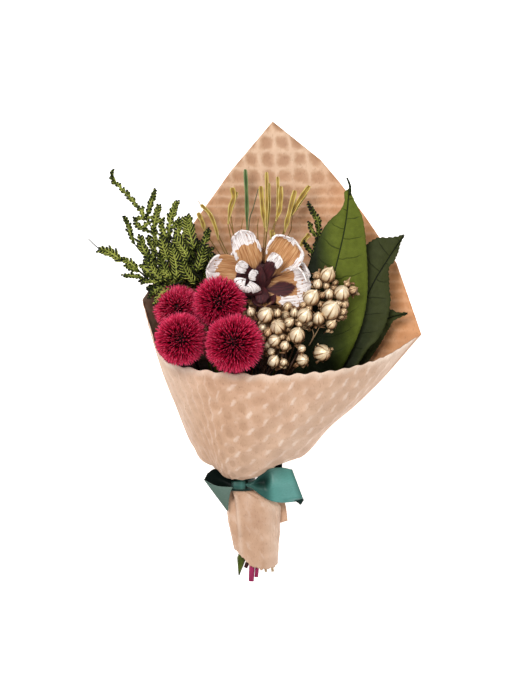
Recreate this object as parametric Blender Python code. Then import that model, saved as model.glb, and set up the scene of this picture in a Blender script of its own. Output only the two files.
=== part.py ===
# Wrapped pinecone bouquet, lying on the back of its paper.
# Seen from above, +Y points along the bouquet to the paper's top corner and +X to the right.
# Every length below is in millimetres, turned into metres when a mesh is made.
import math
import random

import bmesh
import bpy
from mathutils import Vector

MM = 0.001

# Paper wrap
PAPER_THICKNESS = 1.2
PAPER_AROUND = 36
PAPER_CONE_ROWS = 8
NECK_CENTRE = Vector((-11.0, -90.0, 11.1))
NECK_RADIUS = 9.0
# Each panel line: angle round the neck from the back, rim point, and the point that its belly leans to
PAPER_PANELS = [
    (0, (12.8, 162.6, 0.6), (-3.0, -20.0, -1.5)),
    (22, (45.5, 136.6, 2.5), (10.0, -32.0, -2.0)),
    (45, (76.4, 94.1, 9.0), (24.0, -46.0, -0.5)),
    (66, (98.4, 60.5, 17.0), (36.0, -60.0, 6.0)),
    (90, (115.0, 11.2, 33.0), (46.0, -73.0, 22.0)),
    (115, (88.1, -6.0, 53.0), (32.0, -86.0, 42.0)),
    (145, (56.6, -14.0, 67.0), (12.0, -93.0, 54.0)),
    (180, (15.6, -17.5, 73.0), (-6.0, -97.0, 58.0)),
    (215, (-28.7, -15.0, 66.0), (-26.0, -96.0, 52.0)),
    (245, (-65.7, -8.5, 47.0), (-46.0, -82.0, 40.0)),
    (275, (-77.8, 35.0, 29.0), (-58.0, -70.0, 22.0)),
    (310, (-42.4, 83.5, 12.0), (-36.0, -40.0, 2.0)),
    (335, (-14.9, 123.0, 3.5), (-18.0, -25.0, -1.5)),
    (360, (12.8, 162.6, 0.6), (-3.0, -20.0, -1.5)),
]
# The handle: rows down it, pleats round it and how the cut end slants to the left and to the right
HANDLE_ROWS = [-140.0, -131.0, -122.0, -115.0, -109.0, -104.0, -99.0]
PLEATS, PLEAT_DEPTH = 7, 0.5
HANDLE_SLANT_LEFT, HANDLE_SLANT_RIGHT = 0.35, 0.12
# Handle sections below the neck: y, left edge, right edge, lowest and highest point of the sheet
HANDLE_SECTIONS = [
    (-90.0, -20.0, -2.0, 2.1, 20.1),
    (-99.0, -20.0, -2.0, 2.1, 20.1),
    (-104.0, -19.8, 12.0, 0.6, 22.0),
    (-111.0, -19.2, 19.0, 0.6, 23.0),
    (-122.0, -18.2, 18.0, 0.6, 22.5),
    (-137.0, -15.0, 15.6, 0.6, 21.5),
    (-149.0, -11.0, 15.0, 0.6, 21.0),
]

# Stems: where each one runs through the neck, row by row from the back, in one bundle
SLOT_PITCH = 2.4
SLOT_ROWS = [
    ["grass_left", "grass_green", "grass_gold"],
    ["conifer_spray_1", "conifer_spray_2", "conifer_sprig", "leaf_back"],
    ["conifer_spray_3", "conifer_spray_4", "pinecone", "leaf_front", "leaf_middle"],
    ["crimson_head_a", "crimson_head_b", "seed_spray_left", "seed_spray_right"],
    ["crimson_head_c", "crimson_head_d"],
]
STEM_RADIUS = 0.9
# The bundle's own line down the handle, and how far its stems spread apart there
BUNDLE_LINE = [(-11.0, -88.0, 11.1), (-11.0, -99.0, 11.1), (-5.5, -112.0, 11.1), (0.5, -132.0, 11.1),
               (2.0, -152.0, 11.1)]
BUNDLE_SPREAD = [1.0, 1.0, 1.15, 1.4, 1.7]
STEM_ENDS = {
    "conifer_spray_3": -160.5, "crimson_head_c": -164.6, "crimson_head_d": -163.0,
    "seed_spray_right": -158.4, "seed_spray_left": -157.6,
}
HIDDEN_STEM_END = -146.0
TIE_INNER, TIE_OUTER, TIE_LENGTH = 7.15, 8.0, 7.0

# Ribbon
RIBBON_THICKNESS = 1.0
RIBBON_RADIUS = 10.5
RIBBON_BAND = 7.4

# Crimson heads: centre and radius over the spine tips
HEADS = {
    "crimson_head_a": ((-53.5, 28.5, 42.0), 16.7),
    "crimson_head_b": ((-24.4, 33.7, 58.0), 18.6),
    "crimson_head_c": ((-50.5, 8.2, 68.0), 17.7),
    "crimson_head_d": ((-14.3, 4.6, 76.0), 19.8),
}
SPINES_PER_HEAD = 80
SPINE_ROOT = 0.95
SPINE_SINK = 0.12
HEAD_CORE = 0.68
HEAD_CLEARANCE = 0.6
# What else presses the spines aside: the pinecone's left scale
PRESSES = [("pinecone", (-20.0, 57.0, 44.0), 16.5)]

# Pinecone
CONE_HEART = Vector((3.5, 51.0, 50.0))
CONE_CORE_RADIUS = 9.0
# Scales that the cone shows: direction in degrees, reach, width at the tip, height of root, lift of tip
CONE_SCALES = [
    (112, 32.0, 18.0, 0.0, 13.0), (42, 34.0, 23.0, 0.0, 13.0), (172, 37.0, 19.0, -8.0, -3.0),
    (330, 38.0, 20.0, -2.0, 12.0), (2, 34.0, 14.0, -7.0, 6.0), (226, 14.5, 14.0, 3.0, 17.0),
    (278, 26.0, 17.0, -6.0, 6.0),
]
CONE_UNDER_SCALES = [
    (142, 25.0, 14.0, -12.0, -4.0), (78, 25.0, 14.0, -12.0, -4.0), (305, 24.0, 13.0, -13.0, -5.0),
    (18, 22.0, 12.0, -15.0, -9.0), (250, 22.0, 13.0, -13.0, -6.0),
]
CONE_TIPS = [(150, 15.0, 7.0, 6.0, 20.0), (48, 14.0, 8.0, 6.0, 20.0), (200, 6.0, 5.0, 8.0, 22.0)]

# Gold seed pods of each spray: centre and radius
SEED_PODS = {
    "seed_spray_left": [
        ((7.5, 23.9, 66.0), 5.3), ((-2.6, 26.0, 58.0), 3.1), ((15.7, 15.7, 70.0), 5.0),
        ((5.4, 15.0, 62.0), 2.9), ((13.4, 6.4, 69.0), 4.0), ((20.4, 3.0, 71.0), 3.1),
        ((11.2, -1.2, 65.0), 2.6), ((13.0, -7.6, 66.0), 4.0), ((19.8, -8.4, 69.0), 2.5),
    ],
    "seed_spray_right": [
        ((50.0, 51.3, 64.0), 4.9), ((59.6, 39.0, 64.0), 5.0), ((51.8, 27.3, 69.0), 6.2),
        ((38.6, 35.8, 70.5), 5.2), ((50.7, 38.3, 62.0), 3.4), ((43.0, 45.0, 65.0), 3.0),
        ((43.4, 21.6, 68.0), 4.2), ((34.0, 23.4, 72.0), 4.9), ((27.4, 25.4, 64.0), 3.2),
        ((28.8, 10.2, 74.0), 5.0), ((32.0, 0.9, 72.0), 2.6), ((32.7, -6.8, 68.0), 4.0),
        ((46.2, -2.0, 66.0), 5.5),
    ],
}

# Leaves: midrib from the stalk to the tip, half widths to the left and right along it
LEAVES = {
    "leaf_front": {
        "rib": [(30, -34, 40), (37, -8, 45), (48, 28, 50), (56, 60, 52), (62, 88, 52), (65.8, 111, 50)],
        "left": [2.0, 15.0, 20.0, 15.5, 8.5, 0.5],
        "right": [2.0, 21.0, 26.0, 20.5, 11.0, 0.5],
        "teeth": 10, "droop": 0.16, "colour": (0.105, 0.15, 0.03),
    },
    "leaf_middle": {
        "rib": [(44, -36, 32), (58, -10, 37), (70, 20, 41), (82, 46, 42), (93, 64, 42), (103.7, 80, 40)],
        "left": [2.0, 16.0, 20.0, 17.5, 12.0, 0.5],
        "right": [2.0, 20.0, 17.0, 10.0, 5.0, 0.5],
        "teeth": 10, "droop": 0.10, "colour": (0.018, 0.035, 0.014),
    },
    "leaf_back": {
        "rib": [(47, -40, 22), (62, -22, 25), (76, -4, 29), (88, 10, 32), (97, 18, 35), (106.2, 25.7, 39)],
        "left": [2.0, 12.0, 17.0, 16.0, 9.0, 0.5],
        "right": [2.0, 6.0, 7.0, 7.0, 4.0, 0.5],
        "teeth": 8, "droop": 0.05, "colour": (0.016, 0.03, 0.012),
    },
}
LEAF_THICKNESS = 0.8

# Conifer sprays: each axis runs from the stem outwards, seen from above; the spray lies on a slope
CONIFERS = {
    "conifer_spray_1": {
        "height": 22.0,
        "axes": [
            [(-38, 42), (-50, 62), (-62, 74), (-80, 92), (-90, 108), (-99, 125)],
            [(-62, 74), (-67, 86), (-72, 97), (-70, 111)],
        ],
    },
    "conifer_spray_2": {
        "height": 28.0,
        "axes": [
            [(-34, 44), (-42, 60), (-49, 78), (-52, 90), (-54, 104)],
            [(-37, 50), (-36, 66), (-42, 82), (-44, 95)],
            [(-35, 46), (-31, 60), (-32, 74), (-33, 84)],
        ],
    },
    "conifer_spray_3": {
        "height": 33.0,
        "axes": [
            [(-42, 48), (-58, 56), (-78, 64), (-96, 70), (-115, 77)],
            [(-54, 55), (-66, 70), (-80, 82), (-91, 93)],
        ],
    },
    "conifer_spray_4": {
        "height": 38.0,
        "axes": [
            [(-38, 50), (-50, 60), (-60, 72), (-66, 86), (-67, 100)],
            [(-46, 56), (-62, 54), (-76, 52), (-91, 52)],
            [(-56, 55), (-66, 47), (-76, 40)],
        ],
    },
    "conifer_sprig": {
        "height": 34.0,
        "axes": [[(40, 66), (44, 79), (41, 90), (35.6, 102.7)], [(42, 74), (47, 84), (46, 92)]],
    },
}
CONIFER_SLOPE = 0.2
CONIFER_SLOPE_FROM = (-38.0, 44.0)
BRANCHLET_PITCH = 6.0
BRANCHLET_REACH = (14.0, 5.5)
BRANCHLET_WIDTH = 0.24

# Dried grass: stalk root, and the foot and tip of its ear
GRASS = {
    "grass_gold": {
        "colour": (0.56, 0.40, 0.06),
        "root": (4.0, 40.0, 17.0),
        "ears": [((6, 82, 24), (7.8, 124.7, 21)), ((14, 92, 25), (17, 123, 20)), ((17, 88, 22), (19.5, 119, 25)),
                 ((21.8, 84, 26), (28.2, 112, 23)), ((27, 94, 23), (39.5, 115.6, 20))],
    },
    "grass_left": {
        "colour": (0.62, 0.50, 0.12),
        "root": (-10.0, 46.0, 14.0),
        "ears": [((-19.7, 85, 22), (-14.1, 114.1, 20)), ((-29, 84, 20), (-40.1, 105.4, 21)),
                 ((-27, 80, 17), (-35.8, 100.5, 16))],
    },
    "grass_green": {
        "colour": (0.07, 0.14, 0.02),
        "root": (-5.0, 44.0, 12.0),
        "ears": [((-5.6, 92, 14), (-7.0, 127.5, 17)), ((-3, 80, 12), (2.1, 114.3, 13))],
    },
}


def clear_scene():
    for thing in list(bpy.data.objects):
        bpy.data.objects.remove(thing, do_unlink=True)


def make_material(name, colour, roughness, metallic=0.0):
    material = bpy.data.materials.new(name)
    material.use_nodes = True
    shader = material.node_tree.nodes["Principled BSDF"]
    shader.inputs["Base Color"].default_value = (*colour, 1.0)
    shader.inputs["Roughness"].default_value = roughness
    shader.inputs["Metallic"].default_value = metallic
    return material


def make_object(name, solid, material):
    points, faces = solid
    mesh = bpy.data.meshes.new(name)
    mesh.from_pydata([Vector(point) * MM for point in points], [], faces)
    mesh.validate()
    body = bpy.data.objects.new(name, mesh)
    bpy.context.scene.collection.objects.link(body)
    if material:
        mesh.materials.append(material)
    return body


def smooth_line(points, count):
    """Points spaced evenly in parameter on a smooth curve through the given ones."""
    knots = [Vector(point) for point in points]
    line = []
    for step in range(count):
        place = step / (count - 1) * (len(knots) - 1)
        index = min(int(place), len(knots) - 2)
        part = place - index
        before = knots[index - 1] if index > 0 else knots[0] * 2 - knots[1]
        start, end = knots[index], knots[index + 1]
        after = knots[index + 2] if index + 2 < len(knots) else end * 2 - start
        line.append(0.5 * (2 * start + (end - before) * part
                           + (2 * before - 5 * start + 4 * end - after) * part ** 2
                           + (3 * start - before - 3 * end + after) * part ** 3))
    return line


def blend_values(values, fraction):
    place = min(max(fraction, 0.0), 1.0) * (len(values) - 1)
    index = min(int(place), len(values) - 2)
    return values[index] + (values[index + 1] - values[index]) * (place - index)


def tube(line, radii, sides, flatness=1.0, flat_axis=None):
    """A closed round or flattened rod along a line, with a point where a radius is zero."""
    line = [Vector(point) for point in line]
    points, rings = [], []
    side = None
    for index, centre in enumerate(line):
        ahead = (line[min(index + 1, len(line) - 1)] - line[max(index - 1, 0)]).normalized()
        if side is None:
            guide = Vector(flat_axis) if flat_axis else Vector((0.31, 0.17, 0.94))
            side = ahead.cross(guide).normalized()
        side = (side - ahead * side.dot(ahead)).normalized()
        lift = side.cross(ahead).normalized()
        if radii[index] == 0:
            rings.append([len(points)])
            points.append(centre)
            continue
        ring = []
        for turn in range(sides):
            angle = 2 * math.pi * turn / sides
            ring.append(len(points))
            points.append(centre + side * math.cos(angle) * radii[index]
                          + lift * math.sin(angle) * radii[index] * flatness)
        rings.append(ring)
    faces = []
    for lower, upper in zip(rings, rings[1:]):
        for turn in range(sides):
            after = (turn + 1) % sides
            if len(lower) == 1:
                faces.append((lower[0], upper[turn], upper[after]))
            elif len(upper) == 1:
                faces.append((lower[after], lower[turn], upper[0]))
            else:
                faces.append((lower[after], lower[turn], upper[turn], upper[after]))
    if len(rings[0]) > 1:
        faces.append(tuple(rings[0]))
    if len(rings[-1]) > 1:
        faces.append(tuple(reversed(rings[-1])))
    return points, faces


def thick_grid(grid, thickness, wrapped=False):
    """A closed sheet round a grid of middle points; both faces are split into triangles alike."""
    rows, columns = len(grid), len(grid[0])
    grid = [[Vector(point) for point in row] for row in grid]

    def normal(row, column):
        along = grid[min(row + 1, rows - 1)][column] - grid[max(row - 1, 0)][column]
        if wrapped:
            across = grid[row][(column + 1) % columns] - grid[row][column - 1]
        else:
            across = grid[row][min(column + 1, columns - 1)] - grid[row][max(column - 1, 0)]
        return across.cross(along).normalized()

    upper, lower, points = {}, {}, []
    for row in range(rows):
        for column in range(columns):
            depth = thickness[row][column] if isinstance(thickness, list) else thickness
            offset = normal(row, column) * depth / 2
            upper[row, column] = len(points)
            points.append(grid[row][column] + offset)
            lower[row, column] = len(points)
            points.append(grid[row][column] - offset)
    faces = []
    last = columns if wrapped else columns - 1
    for row in range(rows - 1):
        for column in range(last):
            right = (column + 1) % columns
            corners = [(row, column), (row, right), (row + 1, right), (row + 1, column)]
            a, b, c, d = (upper[corner] for corner in corners)
            faces += [(a, b, c), (a, c, d)]
            a, b, c, d = (lower[corner] for corner in corners)
            faces += [(c, b, a), (d, c, a)]
    for column in range(last):
        right = (column + 1) % columns
        for row, flip in ((0, False), (rows - 1, True)):
            wall = [lower[row, column], lower[row, right], upper[row, right], upper[row, column]]
            faces.append(tuple(reversed(wall)) if flip else tuple(wall))
    if not wrapped:
        for row in range(rows - 1):
            for column, flip in ((0, True), (columns - 1, False)):
                wall = [lower[row, column], lower[row + 1, column], upper[row + 1, column], upper[row, column]]
                faces.append(tuple(reversed(wall)) if flip else tuple(wall))
    return points, faces


def keep_largest_shell(body):
    """Drop loose scraps and sealed hollows that a union can leave."""
    shape = bmesh.new()
    shape.from_mesh(body.data)
    waiting, shells = set(shape.faces), []
    while waiting:
        shell, front = set(), [waiting.pop()]
        while front:
            face = front.pop()
            shell.add(face)
            for edge in face.edges:
                for other in edge.link_faces:
                    if other in waiting:
                        waiting.remove(other)
                        front.append(other)
        shells.append(shell)
    largest = max(shells, key=len)
    bmesh.ops.delete(shape, geom=[face for face in shape.faces if face not in largest], context="FACES")
    bmesh.ops.triangulate(shape, faces=shape.faces)
    shape.to_mesh(body.data)
    shape.free()


def fuse(name, solids, material, solver="EXACT"):
    """One body from many closed solids: the first one, and a union with all the rest."""
    body = make_object(name, solids[0], material)
    if len(solids) == 1:
        return body
    group = bpy.data.collections.new(name + "_repeats")
    bpy.context.scene.collection.children.link(group)
    for solid in solids[1:]:
        repeat = make_object(name + "_repeat", solid, None)
        bpy.context.scene.collection.objects.unlink(repeat)
        group.objects.link(repeat)
    union = body.modifiers.new("union", "BOOLEAN")
    union.operation = "UNION"
    union.operand_type = "COLLECTION"
    union.collection = group
    union.solver = solver
    shapes = bpy.context.evaluated_depsgraph_get()
    mesh = bpy.data.meshes.new_from_object(body.evaluated_get(shapes))
    body.modifiers.clear()
    body.data = mesh
    for repeat in list(group.objects):
        bpy.data.objects.remove(repeat, do_unlink=True)
    bpy.data.collections.remove(group)
    keep_largest_shell(body)
    return body


def paper_panel(angle):
    """Rim and belly point of the cone at an angle, in degrees from the back."""
    for (low, rim_a, belly_a), (high, rim_b, belly_b) in zip(PAPER_PANELS, PAPER_PANELS[1:]):
        if low <= angle <= high:
            part = (angle - low) / (high - low)
            return Vector(rim_a).lerp(Vector(rim_b), part), Vector(belly_a).lerp(Vector(belly_b), part)
    return Vector(PAPER_PANELS[0][1]), Vector(PAPER_PANELS[0][2])


def handle_point(angle, y):
    """Middle of the paper on the handle at an angle and a height down it."""
    for upper, lower in zip(HANDLE_SECTIONS, HANDLE_SECTIONS[1:]):
        if upper[0] >= y >= lower[0]:
            break
    part = (y - upper[0]) / (lower[0] - upper[0])
    left, right, low, high = (upper[k] + (lower[k] - upper[k]) * part for k in range(1, 5))
    turn = math.radians(angle)
    return Vector(((left + right) / 2 + (right - left) / 2 * math.sin(turn), y,
                   (low + high) / 2 - (high - low) / 2 * math.cos(turn)))


def make_paper():
    """One sheet: the pouch and its tall back above the neck, the gathered handle below it."""
    lowest = PAPER_THICKNESS / 2
    bottom = HANDLE_SECTIONS[-1][0]
    angles = [360.0 * step / PAPER_AROUND for step in range(PAPER_AROUND)]
    grid = []
    for y in [bottom] + HANDLE_ROWS:
        row = []
        for angle in angles:
            point = handle_point(angle, y)
            turn = math.radians(angle)
            if y < HANDLE_ROWS[-1]:
                point.x += PLEAT_DEPTH * math.sin(turn * PLEATS) * math.sin(turn)
            if y == bottom:
                point.y -= HANDLE_SLANT_LEFT * min(point.x, 0) + HANDLE_SLANT_RIGHT * max(point.x, 0)
            row.append(point)
        grid.append(row)
    for step in range(PAPER_CONE_ROWS + 1):
        along = (step / PAPER_CONE_ROWS) ** 1.15
        row = []
        for angle in angles:
            turn = math.radians(angle)
            neck = NECK_CENTRE + Vector((math.sin(turn), 0, -math.cos(turn))) * NECK_RADIUS
            rim, belly = paper_panel(angle)
            row.append(neck * (1 - along) ** 2 + belly * 2 * along * (1 - along) + rim * along ** 2)
        grid.append(row)
    for row in grid:
        for point in row:
            point.z = max(point.z, lowest)
    solid = thick_grid(grid, PAPER_THICKNESS, wrapped=True)
    for point in solid[0]:
        point.z = max(point.z, 0.0)
    return make_object("paper_wrap", solid, make_material("kraft_paper", (0.62, 0.42, 0.27), 0.85))


def stem_line(name, upper_points, count=4):
    """A stem from its head down to its own place in the neck, and straight on to its cut end."""
    for row, names in enumerate(SLOT_ROWS):
        if name in names:
            across = (names.index(name) - (len(names) - 1) / 2) * SLOT_PITCH
            lift = (row - (len(SLOT_ROWS) - 1) / 2) * SLOT_PITCH
            break
    end = STEM_ENDS.get(name, HIDDEN_STEM_END)
    lower = []
    for (x, y, z), spread in zip(BUNDLE_LINE, BUNDLE_SPREAD):
        lower.append(Vector((x + across * spread, max(y, end), z + lift)))
        if y <= end:
            break
    if end < BUNDLE_LINE[-1][1]:
        lower.append(Vector((lower[-1].x, end, lower[-1].z)))
    upper = smooth_line([Vector(point) for point in upper_points] + lower[:1], count)
    return upper + lower[1:]


def stem_tube(name, upper_points, radius=STEM_RADIUS):
    line = stem_line(name, upper_points)
    return tube(line, [radius] * len(line), 4)


def ball(centre, radius):
    shape = bmesh.new()
    bmesh.ops.create_icosphere(shape, subdivisions=2, radius=radius)
    points = [Vector(centre) + vert.co for vert in shape.verts]
    faces = [tuple(vert.index for vert in face.verts) for face in shape.faces]
    shape.free()
    return points, faces


def make_head(name, material):
    """A spiky globe: a smaller core and spines all round it, shorter where a neighbour presses."""
    centre, radius = Vector(HEADS[name][0]), HEADS[name][1]
    draw = random.Random(name)
    pressing = [(other, place, reach) for other, (place, reach) in HEADS.items()] + PRESSES
    down = (BUNDLE_POINT - centre).normalized()
    solids = [ball(centre, radius * HEAD_CORE)]
    for index in range(SPINES_PER_HEAD):
        height = 1 - 2 * (index + 0.5) / SPINES_PER_HEAD
        turn = index * math.pi * (3 - math.sqrt(5))
        flat = math.sqrt(1 - height * height)
        way = Vector((flat * math.cos(turn), flat * math.sin(turn), height))
        way += Vector((draw.uniform(-1, 1), draw.uniform(-1, 1), draw.uniform(-1, 1))) * 0.05
        way.normalize()
        if way.dot(down) > 0.94:
            continue
        length = radius * draw.uniform(0.94, 1.0)
        for other, place, reach in pressing:
            gap = Vector(place) - centre
            if other == name or gap.length > radius + reach + 1:
                continue
            wall = (gap.length_squared + radius ** 2 - reach ** 2) / (2 * gap.length) - HEAD_CLEARANCE
            facing = way.dot(gap.normalized())
            if facing > 0 and length * facing > wall:
                length = wall / facing
        root = centre + way * radius * (HEAD_CORE - SPINE_SINK)
        solids.append(tube([root, centre + way * length], [SPINE_ROOT, 0], 3))
    solids.append(stem_tube(name, [centre + down * radius * 0.3]))
    return fuse(name, solids, material, "MANIFOLD")


def cone_scale(direction, reach, width, root, lift, rows=5, columns=5, thickness=2.2):
    """One woody scale: a narrow root that widens to a rounded, hollowed, upturned tip."""
    turn = math.radians(direction)
    out = Vector((math.cos(turn), math.sin(turn), 0))
    side = Vector((-math.sin(turn), math.cos(turn), 0))
    grid, depth = [], []
    for row in range(rows):
        along = row / (rows - 1)
        half = width / 2 * (0.32 + 0.68 * math.sin(math.pi * min(1.0, along * 0.75)))
        if row == rows - 1:
            half *= 0.62
        centre = CONE_HEART + out * (2.0 + (reach - 2.0) * along)
        centre.z += root + (lift - root) * along ** 1.8
        line, thick = [], []
        for column in range(columns):
            across = column / (columns - 1) * 2 - 1
            point = centre + side * across * half
            point += out * (-across * across * half * 0.35 * along)
            point.z += across * across * half * 0.22
            line.append(point)
            thick.append(thickness * (1 - 0.35 * abs(across)))
        grid.append(line)
        depth.append(thick)
    return thick_grid([list(reversed(line)) for line in grid], depth)


def make_pinecone(material):
    foot, crown = CONE_HEART + Vector((0, 0, -16)), CONE_HEART + Vector((0, 0, 10))
    line = [foot.lerp(crown, step / 4) for step in range(5)]
    radii = [CONE_CORE_RADIUS * share for share in (0.35, 0.8, 1.0, 0.7, 0.25)]
    solids = [tube(line, radii, 8)]
    for scale in CONE_SCALES:
        solids.append(cone_scale(*scale))
    for scale in CONE_UNDER_SCALES:
        solids.append(cone_scale(*scale, rows=4, columns=3))
    for scale in CONE_TIPS:
        solids.append(cone_scale(*scale, rows=4, columns=3, thickness=1.8))
    solids.append(stem_tube("pinecone", [CONE_HEART + Vector((0, 0, -10)), CONE_HEART + Vector((-1, -14, -19))]))
    return fuse("pinecone", solids, material, "MANIFOLD")


def seed_pod(centre, radius, way):
    """A round capsule with raised ribs and a short point."""
    profile = [(-0.95, 0.35), (-0.45, 0.93), (0.3, 0.97), (0.85, 0.5), (1.35, 0.0)]
    guide = way.cross(Vector((0.3, 0.5, 0.81))).normalized()
    other = way.cross(guide)
    sides = 8
    points, faces, rings = [], [], []
    for height, share in profile:
        ring = []
        for turn in range(sides if share else 1):
            angle = 2 * math.pi * turn / sides
            ribbed = share * radius * (1.0 if turn % 2 == 0 else 0.9)
            ring.append(len(points))
            points.append(Vector(centre) + way * height * radius
                          + (guide * math.cos(angle) + other * math.sin(angle)) * ribbed)
        rings.append(ring)
    for lower, upper in zip(rings, rings[1:]):
        for turn in range(sides):
            after = (turn + 1) % sides
            if len(upper) == 1:
                faces.append((lower[turn], lower[after], upper[0]))
            else:
                faces.append((lower[turn], lower[after], upper[after], upper[turn]))
    faces.append(tuple(reversed(rings[0])))
    return points, faces


def make_seed_spray(name, material):
    """Pods on thin stalks that all leave one stem."""
    draw = random.Random(name)
    pods = SEED_PODS[name]
    middle = sum((Vector(centre) for centre, _ in pods), Vector()) / len(pods)
    fork = middle + (BUNDLE_POINT - middle) * 0.42
    solids = [stem_tube(name, [middle + (BUNDLE_POINT - middle) * 0.2, fork])]
    for centre, radius in pods:
        centre = Vector(centre)
        way = (centre - fork).normalized() + Vector((draw.uniform(-0.4, 0.4), draw.uniform(-0.4, 0.4), 0.7))
        way.normalize()
        solids.append(seed_pod(centre, radius, way))
        bend = centre.lerp(fork, 0.45) - Vector((0, 0, 5))
        solids.append(tube([centre - way * radius * 0.6, bend, fork + Vector((0, 1, 0))], [0.5, 0.55, 0.6], 3))
    return fuse(name, solids, material, "MANIFOLD")


def make_leaf(name):
    """A thin arched blade with a saw-toothed edge on its stalk."""
    leaf = LEAVES[name]
    rows = 2 * leaf["teeth"] + 1
    line = smooth_line(leaf["rib"], rows)
    grid = []
    for row, centre in enumerate(line):
        along = row / (rows - 1)
        ahead = (line[min(row + 1, rows - 1)] - line[max(row - 1, 0)]).normalized()
        side = ahead.cross(Vector((0, 0, 1))).normalized()
        tooth = 1.0 if row % 2 else 0.93
        ring = []
        for across in (-1.0, -0.55, 0.0, 0.55, 1.0):
            half = blend_values(leaf["left"] if across < 0 else leaf["right"], along)
            reach = half * across * (tooth if abs(across) == 1 else 1.0)
            point = centre + side * reach
            point.z -= leaf["droop"] * abs(reach) * abs(across)
            ring.append(point)
        grid.append(ring)
    blade = thick_grid(grid, LEAF_THICKNESS)
    base = Vector(leaf["rib"][0])
    stalk = stem_tube(name, [line[2], base])
    material = make_material(name + "_green", leaf["colour"], 0.45)
    return fuse(name, [blade, stalk], material)


def spray_height(name, x, y):
    away = (Vector((x, y)) - Vector(CONIFER_SLOPE_FROM)).length
    return CONIFERS[name]["height"] + (CONIFER_SLOPE * away if name != "conifer_sprig" else 0.0)


def make_conifer(name, material):
    """A flat spray: thin axes with scale-leaved branchlets along both sides, shorter to the tips."""
    draw = random.Random(name)
    solids = []
    for number, axis in enumerate(CONIFERS[name]["axes"]):
        line = smooth_line([(x, y, spray_height(name, x, y)) for x, y in axis], 7)
        radii = [0.75 - 0.06 * step for step in range(6)] + [0]
        if number == 0:
            stem = stem_line(name, [line[0]])
            line = list(reversed(stem[1:])) + line
            radii = [STEM_RADIUS] * (len(stem) - 1) + radii
        solids.append(tube(line, radii, 4))
        tip = smooth_line([(x, y, spray_height(name, x, y)) for x, y in axis], 40)
        length = sum((b - a).length for a, b in zip(tip, tip[1:]))
        count = max(3, int(length / BRANCHLET_PITCH))
        for place in range(1, count + 1):
            along = (place - 0.35) / count
            index = min(int(along * 39), 38)
            root = tip[index]
            ahead = (tip[index + 1] - tip[index]).normalized()
            side = ahead.cross(Vector((0, 0, 1))).normalized() * (1 if place % 2 else -1)
            reach = blend_values(BRANCHLET_REACH, along) * draw.uniform(0.85, 1.15)
            end = root + (ahead * 0.78 + side * 0.62) * reach
            middle = root.lerp(end, 0.5) + side * reach * 0.08
            start = root - (end - root).normalized() * 0.3
            middle.z += draw.uniform(-0.25, 0.25)
            solids.append(tube([start, middle, end], [0.7, BRANCHLET_WIDTH * reach, 0], 3, 0.36, (0, 0, 1)))
    return fuse(name, solids, material, "MANIFOLD")


def make_grass(name):
    """Thin dried stalks that leave one stem, each with a slender flattened ear."""
    grass = GRASS[name]
    root = Vector(grass["root"])
    solids = [stem_tube(name, [root + Vector((0, 6, 0)), root, root.lerp(BUNDLE_POINT, 0.6)], radius=0.8)]
    for foot, tip in grass["ears"]:
        foot, tip = Vector(foot), Vector(tip)
        ear = smooth_line([root + Vector((0, 2, 0)), root.lerp(foot, 0.6), foot, foot.lerp(tip, 0.5), tip], 7)
        solids.append(tube(ear, [0.45, 0.45, 0.45, 0.6, 1.3, 1.4, 0.4], 4, 0.7, (0, 0, 1)))
    return fuse(name, solids, make_material(name + "_straw", grass["colour"], 0.5, 0.2), "MANIFOLD")


def make_tie():
    """The band that binds the stems inside the neck."""
    grid = []
    for step in range(2):
        y = NECK_CENTRE.y - 4.5 + (step - 0.5) * TIE_LENGTH
        middle = (TIE_INNER + TIE_OUTER) / 2
        grid.append([Vector((NECK_CENTRE.x, y, NECK_CENTRE.z))
                     + Vector((math.sin(math.radians(angle)), 0, -math.cos(math.radians(angle)))) * middle
                     for angle in range(0, 360, 18)])
    solid = thick_grid(grid, TIE_OUTER - TIE_INNER, wrapped=True)
    return make_object("stem_tie", solid, make_material("green_tape", (0.03, 0.09, 0.03), 0.6))


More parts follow.
